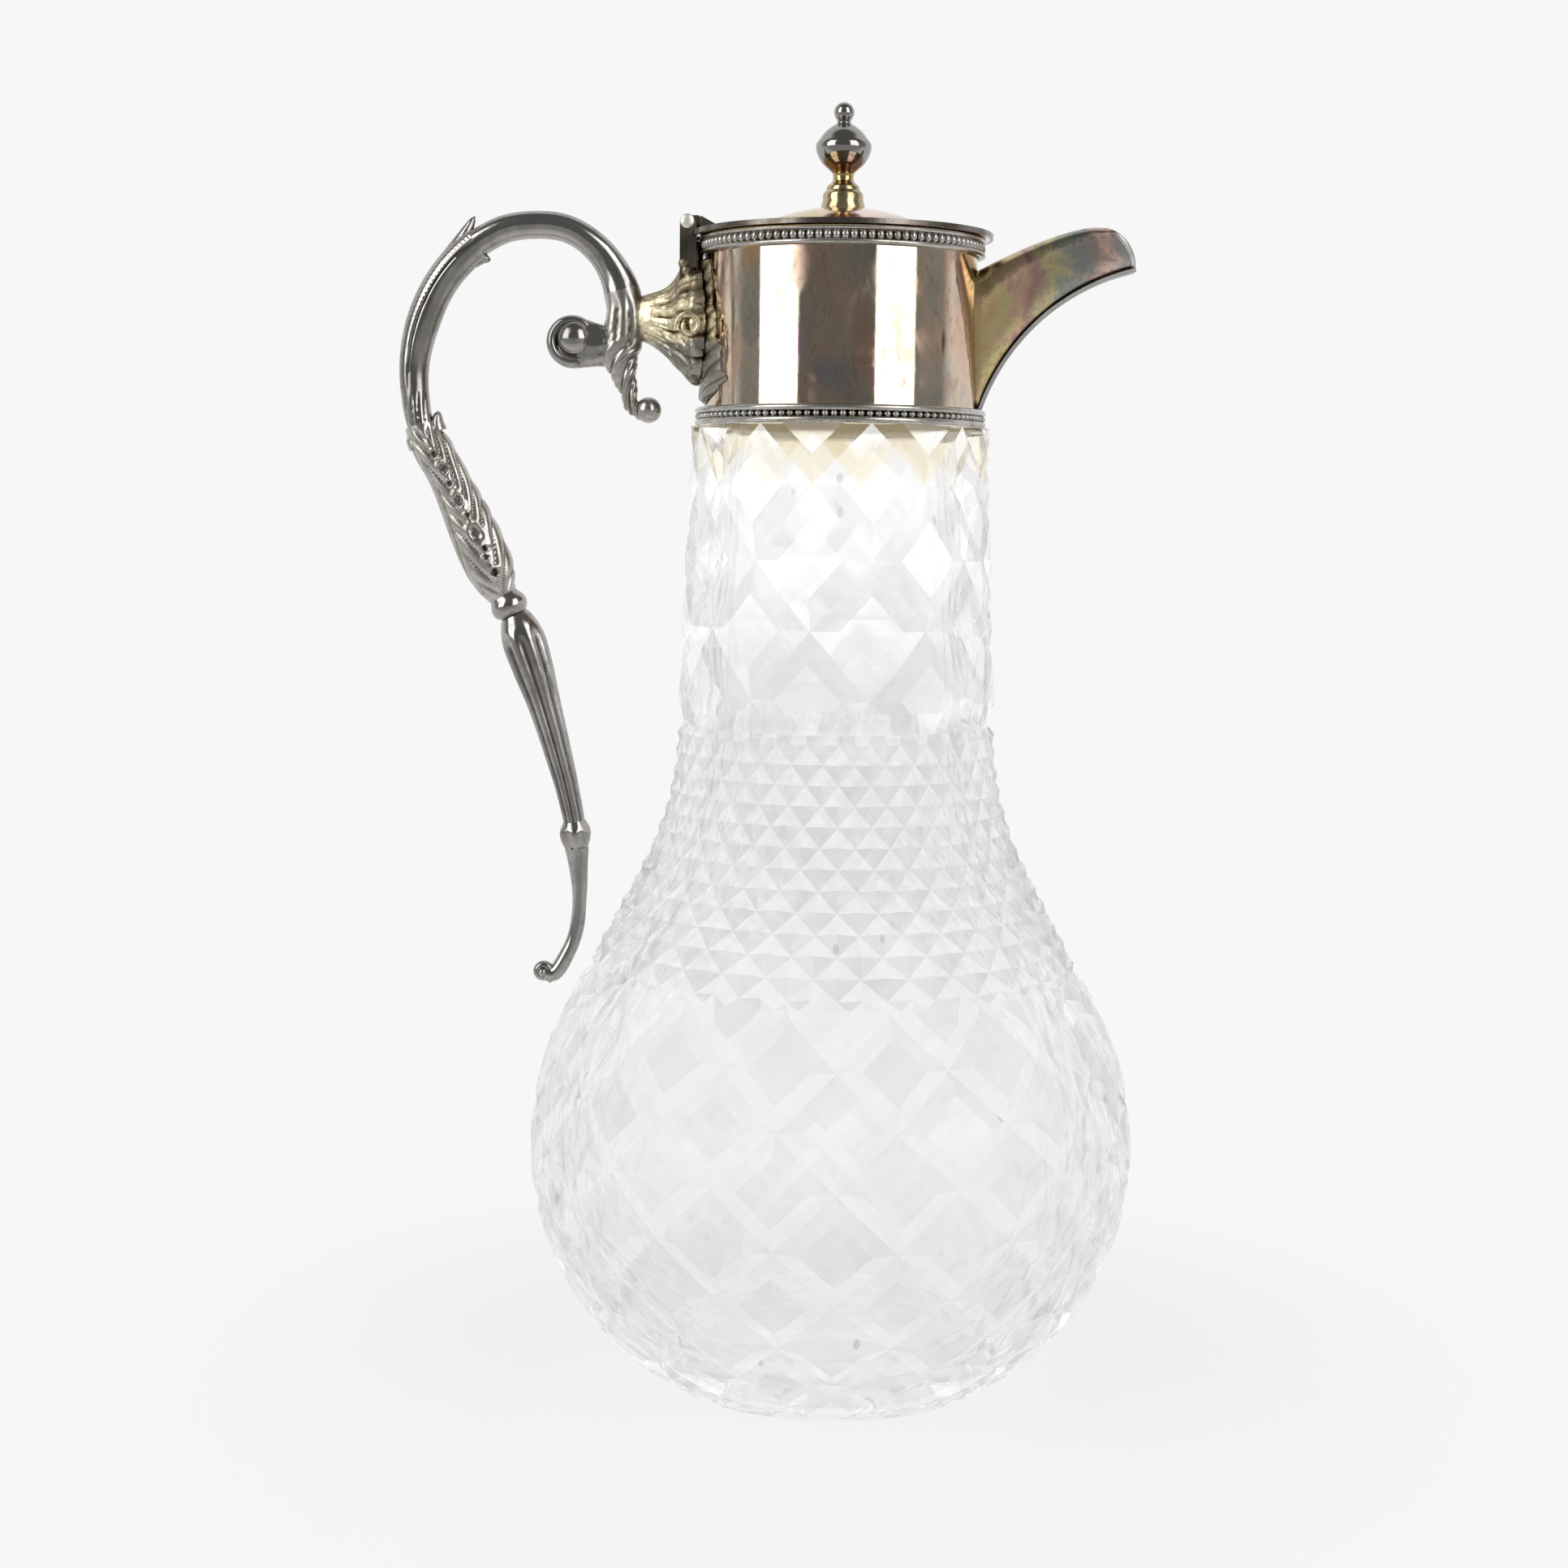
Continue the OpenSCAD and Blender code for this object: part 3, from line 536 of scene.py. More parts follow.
def plain_plates():
    """Plates with one tarnish all over: bright, dull and deep colour (the deep one also painted as shade in
    the hollows of carved pieces), roughness, size of the patches in millimetres, whether it is carved, and
    strength of the marks."""
    colours = bpy.context.scene.jug_metal
    silver, steel = tuple(colours.silver), tuple(colours.steel)
    worn, light = tuple(c * 0.7 for c in steel), tuple(c * 1.25 for c in steel)
    return {
        "inner_plate": (silver, (0.6, 0.5, 0.42), (0.3, 0.24, 0.18), 0.14, 9.0),
        "border_plate": ((0.50, 0.49, 0.46), (0.40, 0.37, 0.33), (0.10, 0.09, 0.075), 0.2, 7.0, True),
        "keel_plate": ((0.64, 0.63, 0.61), (0.50, 0.49, 0.46), (0.16, 0.15, 0.14), 0.4, 6.0),
        "handle_plate": (steel, worn, (0.06, 0.052, 0.045), 0.13, 11.0, True),
        "leaf_plate": (light, (0.36, 0.335, 0.29), (0.05, 0.045, 0.04), 0.24, 7.0, True),
        "hinge_plate": ((0.22, 0.19, 0.15), (0.12, 0.10, 0.08), (0.05, 0.04, 0.03), 0.24, 5.0),
        "pin_metal": ((0.66, 0.64, 0.6), (0.48, 0.45, 0.4), (0.2, 0.17, 0.13), 0.18, 3.0),
        "pin_head": ((0.88, 0.86, 0.80), (0.72, 0.69, 0.62), (0.3, 0.26, 0.2), 0.42, 3.0, False, 0.15),
        "edge_wire": ((0.20, 0.18, 0.16), (0.12, 0.1, 0.08), (0.05, 0.04, 0.03), 0.22, 6.0),
        "finial_brass": ((0.56, 0.45, 0.26), (0.40, 0.33, 0.19), (0.12, 0.09, 0.04), 0.13, 5.0),
    }


def finish_named(name):
    """Each finish of the jug, made once."""
    if name not in FINISHES:
        FINISHES[name] = MAKERS[name]() if name in MAKERS else tarnished(name, *plain_plates()[name])
    return FINISHES[name]


# ---- Trees of geometry nodes ----

def new_tree(name, sizes):
    """Geometry tree with a geometry input and named sizes; returns it with its two ends."""
    tree = bpy.data.node_groups.new(name, "GeometryNodeTree")
    tree.interface.new_socket("Geometry", in_out="INPUT", socket_type="NodeSocketGeometry")
    for label, kind, default in sizes:
        tree.interface.new_socket(label, in_out="INPUT", socket_type=kind).default_value = default
    tree.interface.new_socket("Geometry", in_out="OUTPUT", socket_type="NodeSocketGeometry")
    return tree, tree.nodes.new("NodeGroupInput"), tree.nodes.new("NodeGroupOutput")


def wire(tree, links):
    """Links nodes of a tree, each by source, output, target and input."""
    for source, out, target, into in links:
        tree.links.new(source.outputs[out], target.inputs[into])


def add_nodes(tree, *kinds):
    return [tree.nodes.new(kind) for kind in kinds]


def sector_tree():
    """Turns one sector about the jug's axis into the whole round."""
    tree, start, end = new_tree("turned_sectors", [
        ("Copies", "NodeSocketInt", SECTORS), ("Weld", "NodeSocketFloat", 0.00001)])
    line, whole, index, share, turn, spin, put, real, weld, coat = add_nodes(
        tree, "GeometryNodeMeshLine", "GeometryNodeGeometryToInstance", "GeometryNodeInputIndex",
        "ShaderNodeMath", "ShaderNodeMath", "ShaderNodeCombineXYZ", "GeometryNodeInstanceOnPoints",
        "GeometryNodeRealizeInstances", "GeometryNodeMergeByDistance", "GeometryNodeSetMaterial")
    line.inputs["Offset"].default_value = (0, 0, 0)
    share.operation = "DIVIDE"
    turn.operation = "MULTIPLY"
    turn.inputs[1].default_value = TURN
    coat.inputs["Material"].default_value = finish_named("cut_glass")
    wire(tree, [
        (start, "Copies", line, "Count"), (start, "Geometry", whole, "Geometry"), (index, 0, share, 0),
        (start, "Copies", share, 1), (share, 0, turn, 0), (turn, 0, spin, "Z"), (line, "Mesh", put, "Points"),
        (whole, 0, put, "Instance"), (spin, 0, put, "Rotation"), (put, "Instances", real, "Geometry"),
        (real, "Geometry", weld, "Geometry"), (start, "Weld", weld, "Distance"),
        (weld, "Geometry", coat, "Geometry"), (coat, "Geometry", end, "Geometry")])
    return tree


def bead_tree():
    """Adds a ring of oval beads to a moulding."""
    tree, start, end = new_tree("bead_ring", [
        ("Ring radius", "NodeSocketFloat", 0.031), ("Height", "NodeSocketFloat", 0.25),
        ("Beads", "NodeSocketInt", 104), ("Bead size", "NodeSocketVector", (0.0008, 0.0008, 0.001))])
    circle, lift, rise, ball, shade, place, face, put, real, both, coat = add_nodes(
        tree, "GeometryNodeMeshCircle", "GeometryNodeTransform", "ShaderNodeCombineXYZ",
        "GeometryNodeMeshIcoSphere", "GeometryNodeSetShadeSmooth", "GeometryNodeInputPosition",
        "FunctionNodeAlignRotationToVector", "GeometryNodeInstanceOnPoints", "GeometryNodeRealizeInstances",
        "GeometryNodeJoinGeometry", "GeometryNodeSetMaterial")
    ball.inputs["Radius"].default_value = 1.0
    ball.inputs["Subdivisions"].default_value = 2
    face.axis = "X"
    face.pivot_axis = "Z"
    coat.inputs["Material"].default_value = finish_named("border_plate")
    wire(tree, [
        (start, "Beads", circle, "Vertices"), (start, "Ring radius", circle, "Radius"),
        (start, "Height", rise, "Z"), (circle, "Mesh", lift, "Geometry"), (rise, 0, lift, "Translation"),
        (place, 0, face, "Vector"), (ball, "Mesh", shade, "Geometry"), (lift, "Geometry", put, "Points"),
        (shade, "Geometry", put, "Instance"), (face, 0, put, "Rotation"), (start, "Bead size", put, "Scale"),
        (put, "Instances", real, "Geometry"), (real, "Geometry", both, "Geometry"),
        (start, "Geometry", both, "Geometry"), (both, "Geometry", coat, "Geometry"),
        (coat, "Geometry", end, "Geometry")])
    return tree


def run_tree(piece, tree, **sizes):
    """Runs a tree on a piece and keeps the result as its plain mesh."""
    modifier = piece.modifiers.new(tree.name, "NODES")
    modifier.node_group = tree
    sockets = {s.name: s.identifier for s in tree.interface.items_tree
               if s.item_type == "SOCKET" and s.in_out == "INPUT"}
    for label, value in sizes.items():
        modifier[sockets[label.replace("_", " ")]] = value
    bpy.context.view_layer.update()
    solid = piece.evaluated_get(bpy.context.evaluated_depsgraph_get())
    mesh = bpy.data.meshes.new_from_object(solid)
    old = piece.data
    piece.modifiers.clear()
    piece.data = mesh
    mesh.name = piece.name
    bpy.data.meshes.remove(old)


# ---- Glass ----

LOW_R = ((BULB_R - BASE_R) ** 2 + BULB_Z ** 2) / (2 * (BULB_R - BASE_R))
LOW_C = (BULB_R - LOW_R, BULB_Z)
DISH_R = ((NECK_BASE_R * math.cos(SHOULDER_LEAN) + (NECK_BASE_Z - BULB_Z) * math.sin(SHOULDER_LEAN)
           - BULB_R) / (1 - math.cos(SHOULDER_LEAN)))
DISH_C = (NECK_BASE_R + DISH_R, NECK_BASE_Z)

# Heights of the rows where the cuts cross, from the top of each zone down
NECK_ROWS = [216.6, 203.4, 187.2, 172.2, 157.2, 142.0]
SHOULDER_ROWS = [148.0 - 4.3 * i for i in range(13)]
BULB_ROWS = [94.0, 82.8, 70.6, 58.4, 45.4, 33.6, 22.2, 12.0, 3.4, -4.0]

# Width of each ring's cut above and below its bottom
RING_HALF = (4.6, 2.0)
BULB_RING_HALF = (2.0, 2.6)

# The round of the glass is made of copies of one sector between two turns
SECTORS = 8
SECTOR_START, SECTOR_END = math.radians(-11.25), math.radians(33.75)


def glass_r(z):
    """Radius of the uncut glass at a height."""
    if z <= BULB_Z:
        return LOW_C[0] + math.sqrt(max(0, LOW_R ** 2 - (BULB_Z - z) ** 2))
    if z <= BULB_Z + BULB_R * math.sin(SHOULDER_LEAN):
        return math.sqrt(BULB_R ** 2 - (z - BULB_Z) ** 2)
    if z <= NECK_BASE_Z - DISH_R * math.sin(SHOULDER_LEAN):
        return (BULB_R - (z - BULB_Z) * math.sin(SHOULDER_LEAN)) / math.cos(SHOULDER_LEAN)
    if z <= NECK_BASE_Z:
        return DISH_C[0] - math.sqrt(DISH_R ** 2 - (NECK_BASE_Z - z) ** 2)
    return mix(NECK_BASE_R, NECK_TOP_R, (z - NECK_BASE_Z) / (COLLAR_Z - NECK_BASE_Z))


def cut_point(turn, z, depth):
    """Point of the glass that lies depth below the uncut side."""
    slope = (glass_r(z + 0.2) - glass_r(max(0, z - 0.2))) / (0.2 + min(z, 0.2))
    out = 1 / math.sqrt(1 + slope * slope)
    return around(glass_r(z) - (depth + 0.02) * out, turn, z + depth * slope * out)


def lattice_depth(c, r, table):
    """Share of the full depth at column c and row r of crossing cuts: 1 in a cut and 0 on a table."""
    far = 0.0
    for across in (c + r / 2, c - r / 2):
        far = max(far, abs(2 * (across - math.floor(across)) - 1))
    return min(1.0, max(0.0, (far - table) / (1 - table)))


def cut_sheet(c0, c1, r0, r1, table, c_parts, r_parts):
    """Flat sheet of columns and rows, divided along every edge that the cuts leave."""
    bm = bmesh.new()
    corners = [bm.verts.new((c, r, 0)) for c, r in ((c0, r0), (c1, r0), (c1, r1), (c0, r1))]
    bm.faces.new(corners)
    lines = [((1, 0), k / c_parts) for k in range(math.ceil(c0 * c_parts), math.floor(c1 * c_parts) + 1)]
    lines += [((0, 1), k / r_parts) for k in range(math.ceil(r0 * r_parts), math.floor(r1 * r_parts) + 1)]
    marks = [0.0] + ([0.5 - table / 2, 0.5 + table / 2] if table > 0 else [])
    for lean in (0.5, -0.5):
        ends = [c + lean * r for c in (c0, c1) for r in (r0, r1)]
        for k in range(math.floor(min(ends)), math.ceil(max(ends)) + 1):
            lines += [((1, lean), k + mark) for mark in marks]
    for (nc, nr), at in lines:
        co = (at, 0, 0) if nc else (0, at, 0)
        bmesh.ops.bisect_plane(bm, geom=bm.verts[:] + bm.edges[:] + bm.faces[:], dist=1e-6,
                               plane_co=co, plane_no=(nc, nr, 0))
    bm.verts.ensure_lookup_table()
    verts = [(v.co.x, v.co.y) for v in bm.verts]
    faces = [[v.index for v in f.verts] for f in bm.faces]
    bm.free()
    return verts, faces


class GlassSector:
    """One eighth of the bottle, built zone by zone."""

    def __init__(self):
        self.turn0, self.turn1 = SECTOR_START, SECTOR_END
        self.points, self.faces = [], []

    def zone(self, rows, r0, r1, columns, shift, table, depth, c_parts, r_parts):
        """Adds a zone of crossing cuts and returns its top and bottom edges."""
        verts, faces = cut_sheet(shift, shift + columns, r0, r1, table, c_parts, r_parts)
        start = len(self.points)
        for c, r in verts:
            turn = mix(self.turn0, self.turn1, (c - shift) / columns)
            z = float(along([(v,) for v in rows], r)[0])
            self.points.append(cut_point(turn, z, depth * lattice_depth(c, r, table)))
        self.faces += [[start + v for v in f] for f in faces]
        edges = []
        for r in (r0, r1):
            found = [(c, start + n) for n, (c, v) in enumerate(verts) if abs(v - r) < 1e-5]
            edges.append([n for _, n in sorted(found)])
        return edges

    def line(self, parts, r, z):
        start = len(self.points)
        self.points += [around(r, mix(self.turn0, self.turn1, k / parts), z) for k in range(parts + 1)]
        return list(range(start, start + parts + 1))

    def turn_of(self, index):
        x, y, _ = self.points[index]
        return math.atan2(x, -y)

    def stitch(self, upper, lower):
        """Triangles between two edges that run across the sector."""
        i = j = 0
        while i < len(upper) - 1 or j < len(lower) - 1:
            next_upper = self.turn_of(upper[i + 1]) if i < len(upper) - 1 else 9
            next_lower = self.turn_of(lower[j + 1]) if j < len(lower) - 1 else 9
            if next_upper <= next_lower:
                self.faces.append([upper[i], lower[j], upper[i + 1]])
                i += 1
            else:
                self.faces.append([upper[i], lower[j], lower[j + 1]])
                j += 1

    def turned(self, outline, parts):
        """Adds a smooth turned strip through an outline and returns its first and last edges."""
        lines = [self.line(parts, max(r, 0.0), z) for r, z in outline]
        for a, b in zip(lines, lines[1:]):
            for k in range(parts):
                self.faces.append([a[k], a[k + 1], b[k + 1], b[k]])
        return lines[0], lines[-1]


def row_at(rows, z):
    """Row number at a height."""
    lo, hi = 0.0, float(len(rows) - 1)
    for _ in range(40):
        mid = (lo + hi) / 2
        if along([(v,) for v in rows], mid)[0] > z:
            lo = mid
        else:
            hi = mid
    return (lo + hi) / 2


PLUG_EDGE = 0.6   # bevel at the top of the neck, inside and outside


def glass_sector(cuts):
    """Sector of the glass, from its outer cuts round the foot and up its inside."""
    g = GlassSector()
    ring_parts = 16
    neck_r1 = row_at(NECK_ROWS, NECK_BASE_Z + RING_HALF[0])
    neck = g.zone(NECK_ROWS, row_at(NECK_ROWS, COLLAR_Z), neck_r1, 1, 0.5, cuts.neck_table,
                  cuts.neck_depth / MM, 8, 4)
    ring = g.line(ring_parts, NECK_BASE_R - cuts.ring_depth / MM, NECK_BASE_Z)
    shoulder = g.zone(SHOULDER_ROWS, 0.0, 12.0, 4, 0.0, 0.0, cuts.shoulder_depth / MM, 2, 1)
    low_ring = g.line(ring_parts, glass_r(BULB_ROWS[0]) - cuts.ring_depth / MM * 1.1, BULB_ROWS[0])
    bulb = g.zone(BULB_ROWS, row_at(BULB_ROWS, BULB_ROWS[0] - BULB_RING_HALF[1]),
                  row_at(BULB_ROWS, 4.2), 2, 0.0, cuts.bulb_table, cuts.bulb_depth / MM, 4, 4)
    g.stitch(neck[1], ring)
    g.stitch(ring, shoulder[0])
    g.stitch(shoulder[1], low_ring)
    g.stitch(low_ring, bulb[0])
    foot = g.turned([(BASE_R + 2.2, 1.5), (BASE_R + 0.7, 0.35), (BASE_R - 0.4, 0.0), (BASE_R - 4.5, 0.0),
                     (BASE_R - 6.0, 0.7), (24.0, 0.9), (10.0, 0.95), (0.0, 1.0)], 12)
    g.stitch(bulb[1], foot[0])
    low_r = LOW_R - GLASS_WALL
    inside = [(0.0, GLASS_FLOOR - 1.2), (20.0, GLASS_FLOOR - 1.1), (34.0, GLASS_FLOOR - 0.5)]
    inside += arc(LOW_C, low_r, -math.asin((BULB_Z - GLASS_FLOOR) / low_r), 0, 14)
    inside += arc((0, BULB_Z), BULB_R - GLASS_WALL, math.radians(2), SHOULDER_LEAN, 8)
    inside += arc(DISH_C, DISH_R + GLASS_WALL, math.pi + SHOULDER_LEAN, math.pi, 12)
    inside += [(BORE_R, COLLAR_Z), (BORE_R, PLUG_TOP - PLUG_EDGE), (BORE_R + PLUG_EDGE, PLUG_TOP),
               (PLUG_R - PLUG_EDGE, PLUG_TOP), (PLUG_R, PLUG_TOP - PLUG_EDGE), (PLUG_R, COLLAR_Z)]
    seat = g.turned(inside, 12)
    g.stitch(seat[1], neck[0])
    return g


def facet_shades(mesh, cuts):
    """Painted shade of each facet: a grey that differs from facet to facet, standing in for what it reflects
    and refracts, and in the first cuts under the collar a painted khaki reflection of the cement behind them."""
    count = len(mesh.polygons)
    mid = np.empty(count * 3)
    mesh.polygons.foreach_get("center", mid)
    x, y, z = (mid.reshape(-1, 3) / MM).T
    heights = np.linspace(0, COLLAR_Z, 800)
    outer = np.hypot(x, y) > np.interp(z, heights, [glass_r(h) for h in heights]) - 3.0
    grey, warm = np.zeros(count), np.zeros(count)
    zones = [  # rows, bottom, columns, shift, table, painted grey of tables, upper cuts and lower cuts, their spread
        (NECK_ROWS, NECK_BASE_Z + 1.5, 8, 0.5, cuts.neck_table, (0.02, 0.7, 0.4), 0.45),
        (SHOULDER_ROWS, BULB_ROWS[0] + 1.0, 32, 0.0, 0.0, (0.3, 0.85, 0.05), 0.25),
        (BULB_ROWS, 0.0, 16, 0.0, cuts.bulb_table, (0.42, 0.05, 0.28), 0.5)]
    top = COLLAR_Z
    for rows, bottom, columns, shift, table, greys, spread in zones:
        index = np.linspace(0, len(rows) - 1, 400)
        level = np.array([along([(v,) for v in rows], t)[0] for t in index])
        r = np.interp(z, level[::-1], index[::-1])
        c = shift + ((np.arctan2(x, -y) - SECTOR_START) / TURN * columns) % columns
        lines = np.array([c + r / 2, c - r / 2])
        cell = np.floor(lines)
        near = np.abs(2 * (lines - cell) - 1)
        first = near[0] > near[1]
        upper = np.where(first, lines[0] - cell[0] > 0.5, lines[1] - cell[1] < 0.5)
        cut = near.max(0) > table
        chance = np.sin((cell[0] % columns) * 12.9898 + (cell[1] % columns) * 78.233
                        + (cut * (1 + first + 2 * upper)) * 37.719) * 43758.5453
        chance -= np.floor(chance)
        # painted shade: tables, upper cuts and lower cuts get their own greys, as if each caught the light
        # differently
        level = np.where(cut, np.where(upper, greys[1], greys[2]), greys[0] * (chance > 0.14))
        here = outer & (z > bottom) & (z <= top)
        grey = np.where(here, level * (1 - spread + 2 * spread * chance), grey)
        # painted reflection: on the neck, the upper cuts of the first row show the cement behind them in
        # khaki
        if columns == 8:
            warm = np.where(here & cut & upper & (r < 1.0), 0.65 + 0.35 * chance, warm)
        top = bottom
    for name, values in (("shade", grey), ("warm", warm)):
        mesh.attributes.new(name, "FLOAT", "FACE").data.foreach_set("value", values.astype(np.float32))


# ---- Handle ----

# Share of the bow away from the chord, and share of the drop below the rim
ROUTE = [
    (-0.066, 0.229), (-0.026, 0.233), (0.012, 0.223), (0.040, 0.202), (0.066, 0.181),
    (0.090, 0.159), (0.090, 0.133), (0.090, 0.108), (0.098, 0.087), (0.145, 0.053),
    (0.239, 0.017), (0.376, -0.009), (0.532, -0.015), (0.687, -0.006), (0.827, 0.024),
    (0.934, 0.070), (0.994, 0.130), (1.000, 0.190), (0.948, 0.253),
    (0.863, 0.295), (0.773, 0.337), (0.690, 0.380), (0.610, 0.424), (0.540, 0.464),
    (0.472, 0.494), (0.425, 0.517), (0.367, 0.555), (0.300, 0.602), (0.235, 0.650),
    (0.175, 0.697), (0.120, 0.742), (0.070, 0.789), (0.052, 0.815), (0.034, 0.842),
    (0.012, 0.880), (0.002, 0.915), (0.006, 0.945), (0.030, 0.972), (0.082, 1.002),
    (0.150, 1.000)]
TRUNK, ARCH, SHEATH, GRIP = (0.1, 8.5), (8.5, 13.65), (13.65, 18.0), (18.0, 23.6)
KNOP, STEM, TAIL_COLLAR, TAIL = (23.6, 24.7), (24.7, 31.05), (31.05, 32.5), (32.5, 38.6)

CHORD_TOP = (-(COLLAR_R + BRACKET_LEN), RIM_Z - 18)
CHORD_LOW_Z = RIM_Z - HANDLE_DROP + 8
CHORD_LOW = (-((BULB_R - (CHORD_LOW_Z - BULB_Z) * math.sin(SHOULDER_LEAN)) / math.cos(SHOULDER_LEAN)
               + 4 + TAIL_HALF_T), CHORD_LOW_Z)


def on_handle(t):
    """Point of the handle's middle line, as x and z."""
    bow, drop = along(ROUTE, t)
    z = RIM_Z - drop * HANDLE_DROP
    x = mix(CHORD_TOP[0], CHORD_LOW[0], (CHORD_TOP[1] - z) / (CHORD_TOP[1] - CHORD_LOW[1]))
    return np.array([x - bow * HANDLE_BOW, z])


def handle_frame(t):
    step = on_handle(t + 0.05) - on_handle(t - 0.05)
    step /= np.linalg.norm(step)
    return on_handle(t), step, np.array([-step[1], step[0]])


def oval_point(centre, across, wide, deep, a):
    """Point at angle a of an oval about a point of the handle's plane: wide along a direction of
    the plane and deep across it."""
    return (centre[0] + across[0] * wide * math.cos(a), -deep * math.sin(a),
            centre[1] + across[1] * wide * math.cos(a))


def in_plane(p):
    return (p[0], 0, p[1])


def handle_skin(name, run, size, shape, steps, sides, carve=None):
    """Length of handle. carve gives, for the share along it and the angle round it (a quarter
    turn faces the viewer), how far the surface lies out of the plain round in millimetres and
    how hollow it is."""
    points, hollow = [], []
    for i in range(steps + 1):
        u = i / steps
        p, _, n = handle_frame(mix(*run, u))
        half_t, half_w = size * along(shape, (len(shape) - 1) * u) - 0.01
        for k in range(sides):
            a = TURN * k / sides
            out, deep = carve(u, a) if carve else (0.0, 0.0)
            points.append(oval_point(p, n, half_t + out, half_w + out, a))
            hollow.append(deep)
    ends = [in_plane(on_handle(mix(*run, u))) for u in (0, 1)]
    return capped_tube(name, points, sides, ends, 40.0, hollow)


def ridges(phase, sharpness=0.55):
    """0 in the narrow valleys between rounded ridges and 1 on their crests."""
    return abs(math.sin(math.pi * phase)) ** sharpness


# Pits down the middle of the grip's leaf: share along it, place across it, half length, half width
GRIP_PITS = [(0.17, 0.05, 0.020, 0.12), (0.255, 0.10, 0.032, 0.16), (0.335, 0.03, 0.016, 0.12),
             (0.43, 0.09, 0.034, 0.15), (0.515, 0.14, 0.013, 0.09), (0.615, 0.13, 0.044, 0.22),
             (0.70, 0.24, 0.016, 0.10), (0.745, 0.14, 0.013, 0.09), (0.84, 0.24, 0.026, 0.15)]


def grip_leaf(u, a):
    """Acanthus of the grip: a chain of pits, and veins that branch from it up to both edges."""
    side = math.cos(a)
    pit, rim = 0.0, 0.0
    for at, across, long, wide in GRIP_PITS:
        far = math.hypot((u - at) / long, (side - across) / wide)
        pit = max(pit, 1 - float(smooth(0.55, 1.0, far)))
        rim = max(rim, math.exp(-((far - 1.4) / 0.35) ** 2))
    off = side - 0.1
    stem = math.exp(-(off / 0.14) ** 2)
    branch = 1 - ridges(8.0 * u + (2.6 if off > 0 else 1.9) * abs(off) + 0.2 * math.sin(13 * u), 0.6)
    streak = 1 - ridges(2.4 * side + 1.6 * u, 0.7)
    outer = float(smooth(0.5, 0.75, -side))
    valley = mix(branch, streak, outer) * (1 - stem)
    share = float(smooth(0.0, 0.06, u) * (1 - smooth(0.93, 1.0, u)))
    out = 0.2 * rim * (1 - pit) + 0.15 * stem - 0.7 * pit - 0.5 * valley * (1 - 0.7 * rim)
    return out * share, min(1.0, pit * 0.75 + 0.85 * valley * (1 - rim)) * share


def sheath_leaf(u, a):
    """Long leaves wrapped round the handle: a crease, serrated edges and curled tips at its foot."""
    side = math.cos(a)
    long = float(1 - smooth(0.35, 0.6, u))
    row = float(smooth(0.62, 0.7, -side) * (1 - smooth(0.9, 0.97, -side))) * long
    second = float(smooth(0.36, 0.44, -side) * (1 - smooth(0.54, 0.6, -side))) * long * 0.7
    teeth = (row + second) * (1 - ridges(44 * u + 0.9 * side, 0.9))
    crease = math.exp(-((side + 0.22 + 0.1 * u) / 0.07) ** 2) * float(1 - smooth(0.6, 0.95, u))
    foot = float(smooth(0.8, 0.9, u)) * (1 - ridges(5.0 * u + 2.2 * side, 0.6))
    return -0.18 * teeth - 0.5 * crease - 0.25 * foot, min(1.0, crease + 0.7 * teeth + foot)


def trunk_leaf(u, a):
    """Leaf on the trunk: long ribs above, lobes that wrap it beside the scroll, a scalloped edge."""
    side = math.cos(a)
    upper = float(smooth(0.6, 0.78, u))
    long_rib = 1 - ridges(1.5 * side + 1.1 * (1 - u) + 0.3, 0.7)
    wrap = 1 - ridges(6.0 * u + 0.85 * side + 0.25, 0.5)
    fine = 1 - ridges(18.0 * u + 2.4 * side, 0.8)
    valley = mix(0.85 * wrap + 0.25 * fine, long_rib, upper)
    edge = float(smooth(0.55, 0.9, side) * (1 - smooth(0.2, 0.3, u))) * ridges(15 * u, 0.8)
    share = float(smooth(0.03, 0.12, u) * (1 - smooth(0.86, 1.0, u)))
    return (0.3 * edge - mix(0.8, 0.5, upper) * valley) * share, min(1.0, valley) * share


def stem_flute(u, a):
    """Eight flutes that fade in at the top of the stem and grow shallower down it."""
    wave = (0.5 + 0.5 * math.cos(8 * a)) ** 1.5
    round_top = float(smooth(0.08, 0.2, u))
    return -0.75 * wave * round_top * mix(1.0, 0.45, u), wave * round_top * 0.9


def collar_lobes(u, a):
    wave = 0.5 + 0.5 * math.cos(6 * a)
    return -0.5 * wave * float(smooth(0.1, 0.5, u)), wave * 0.5


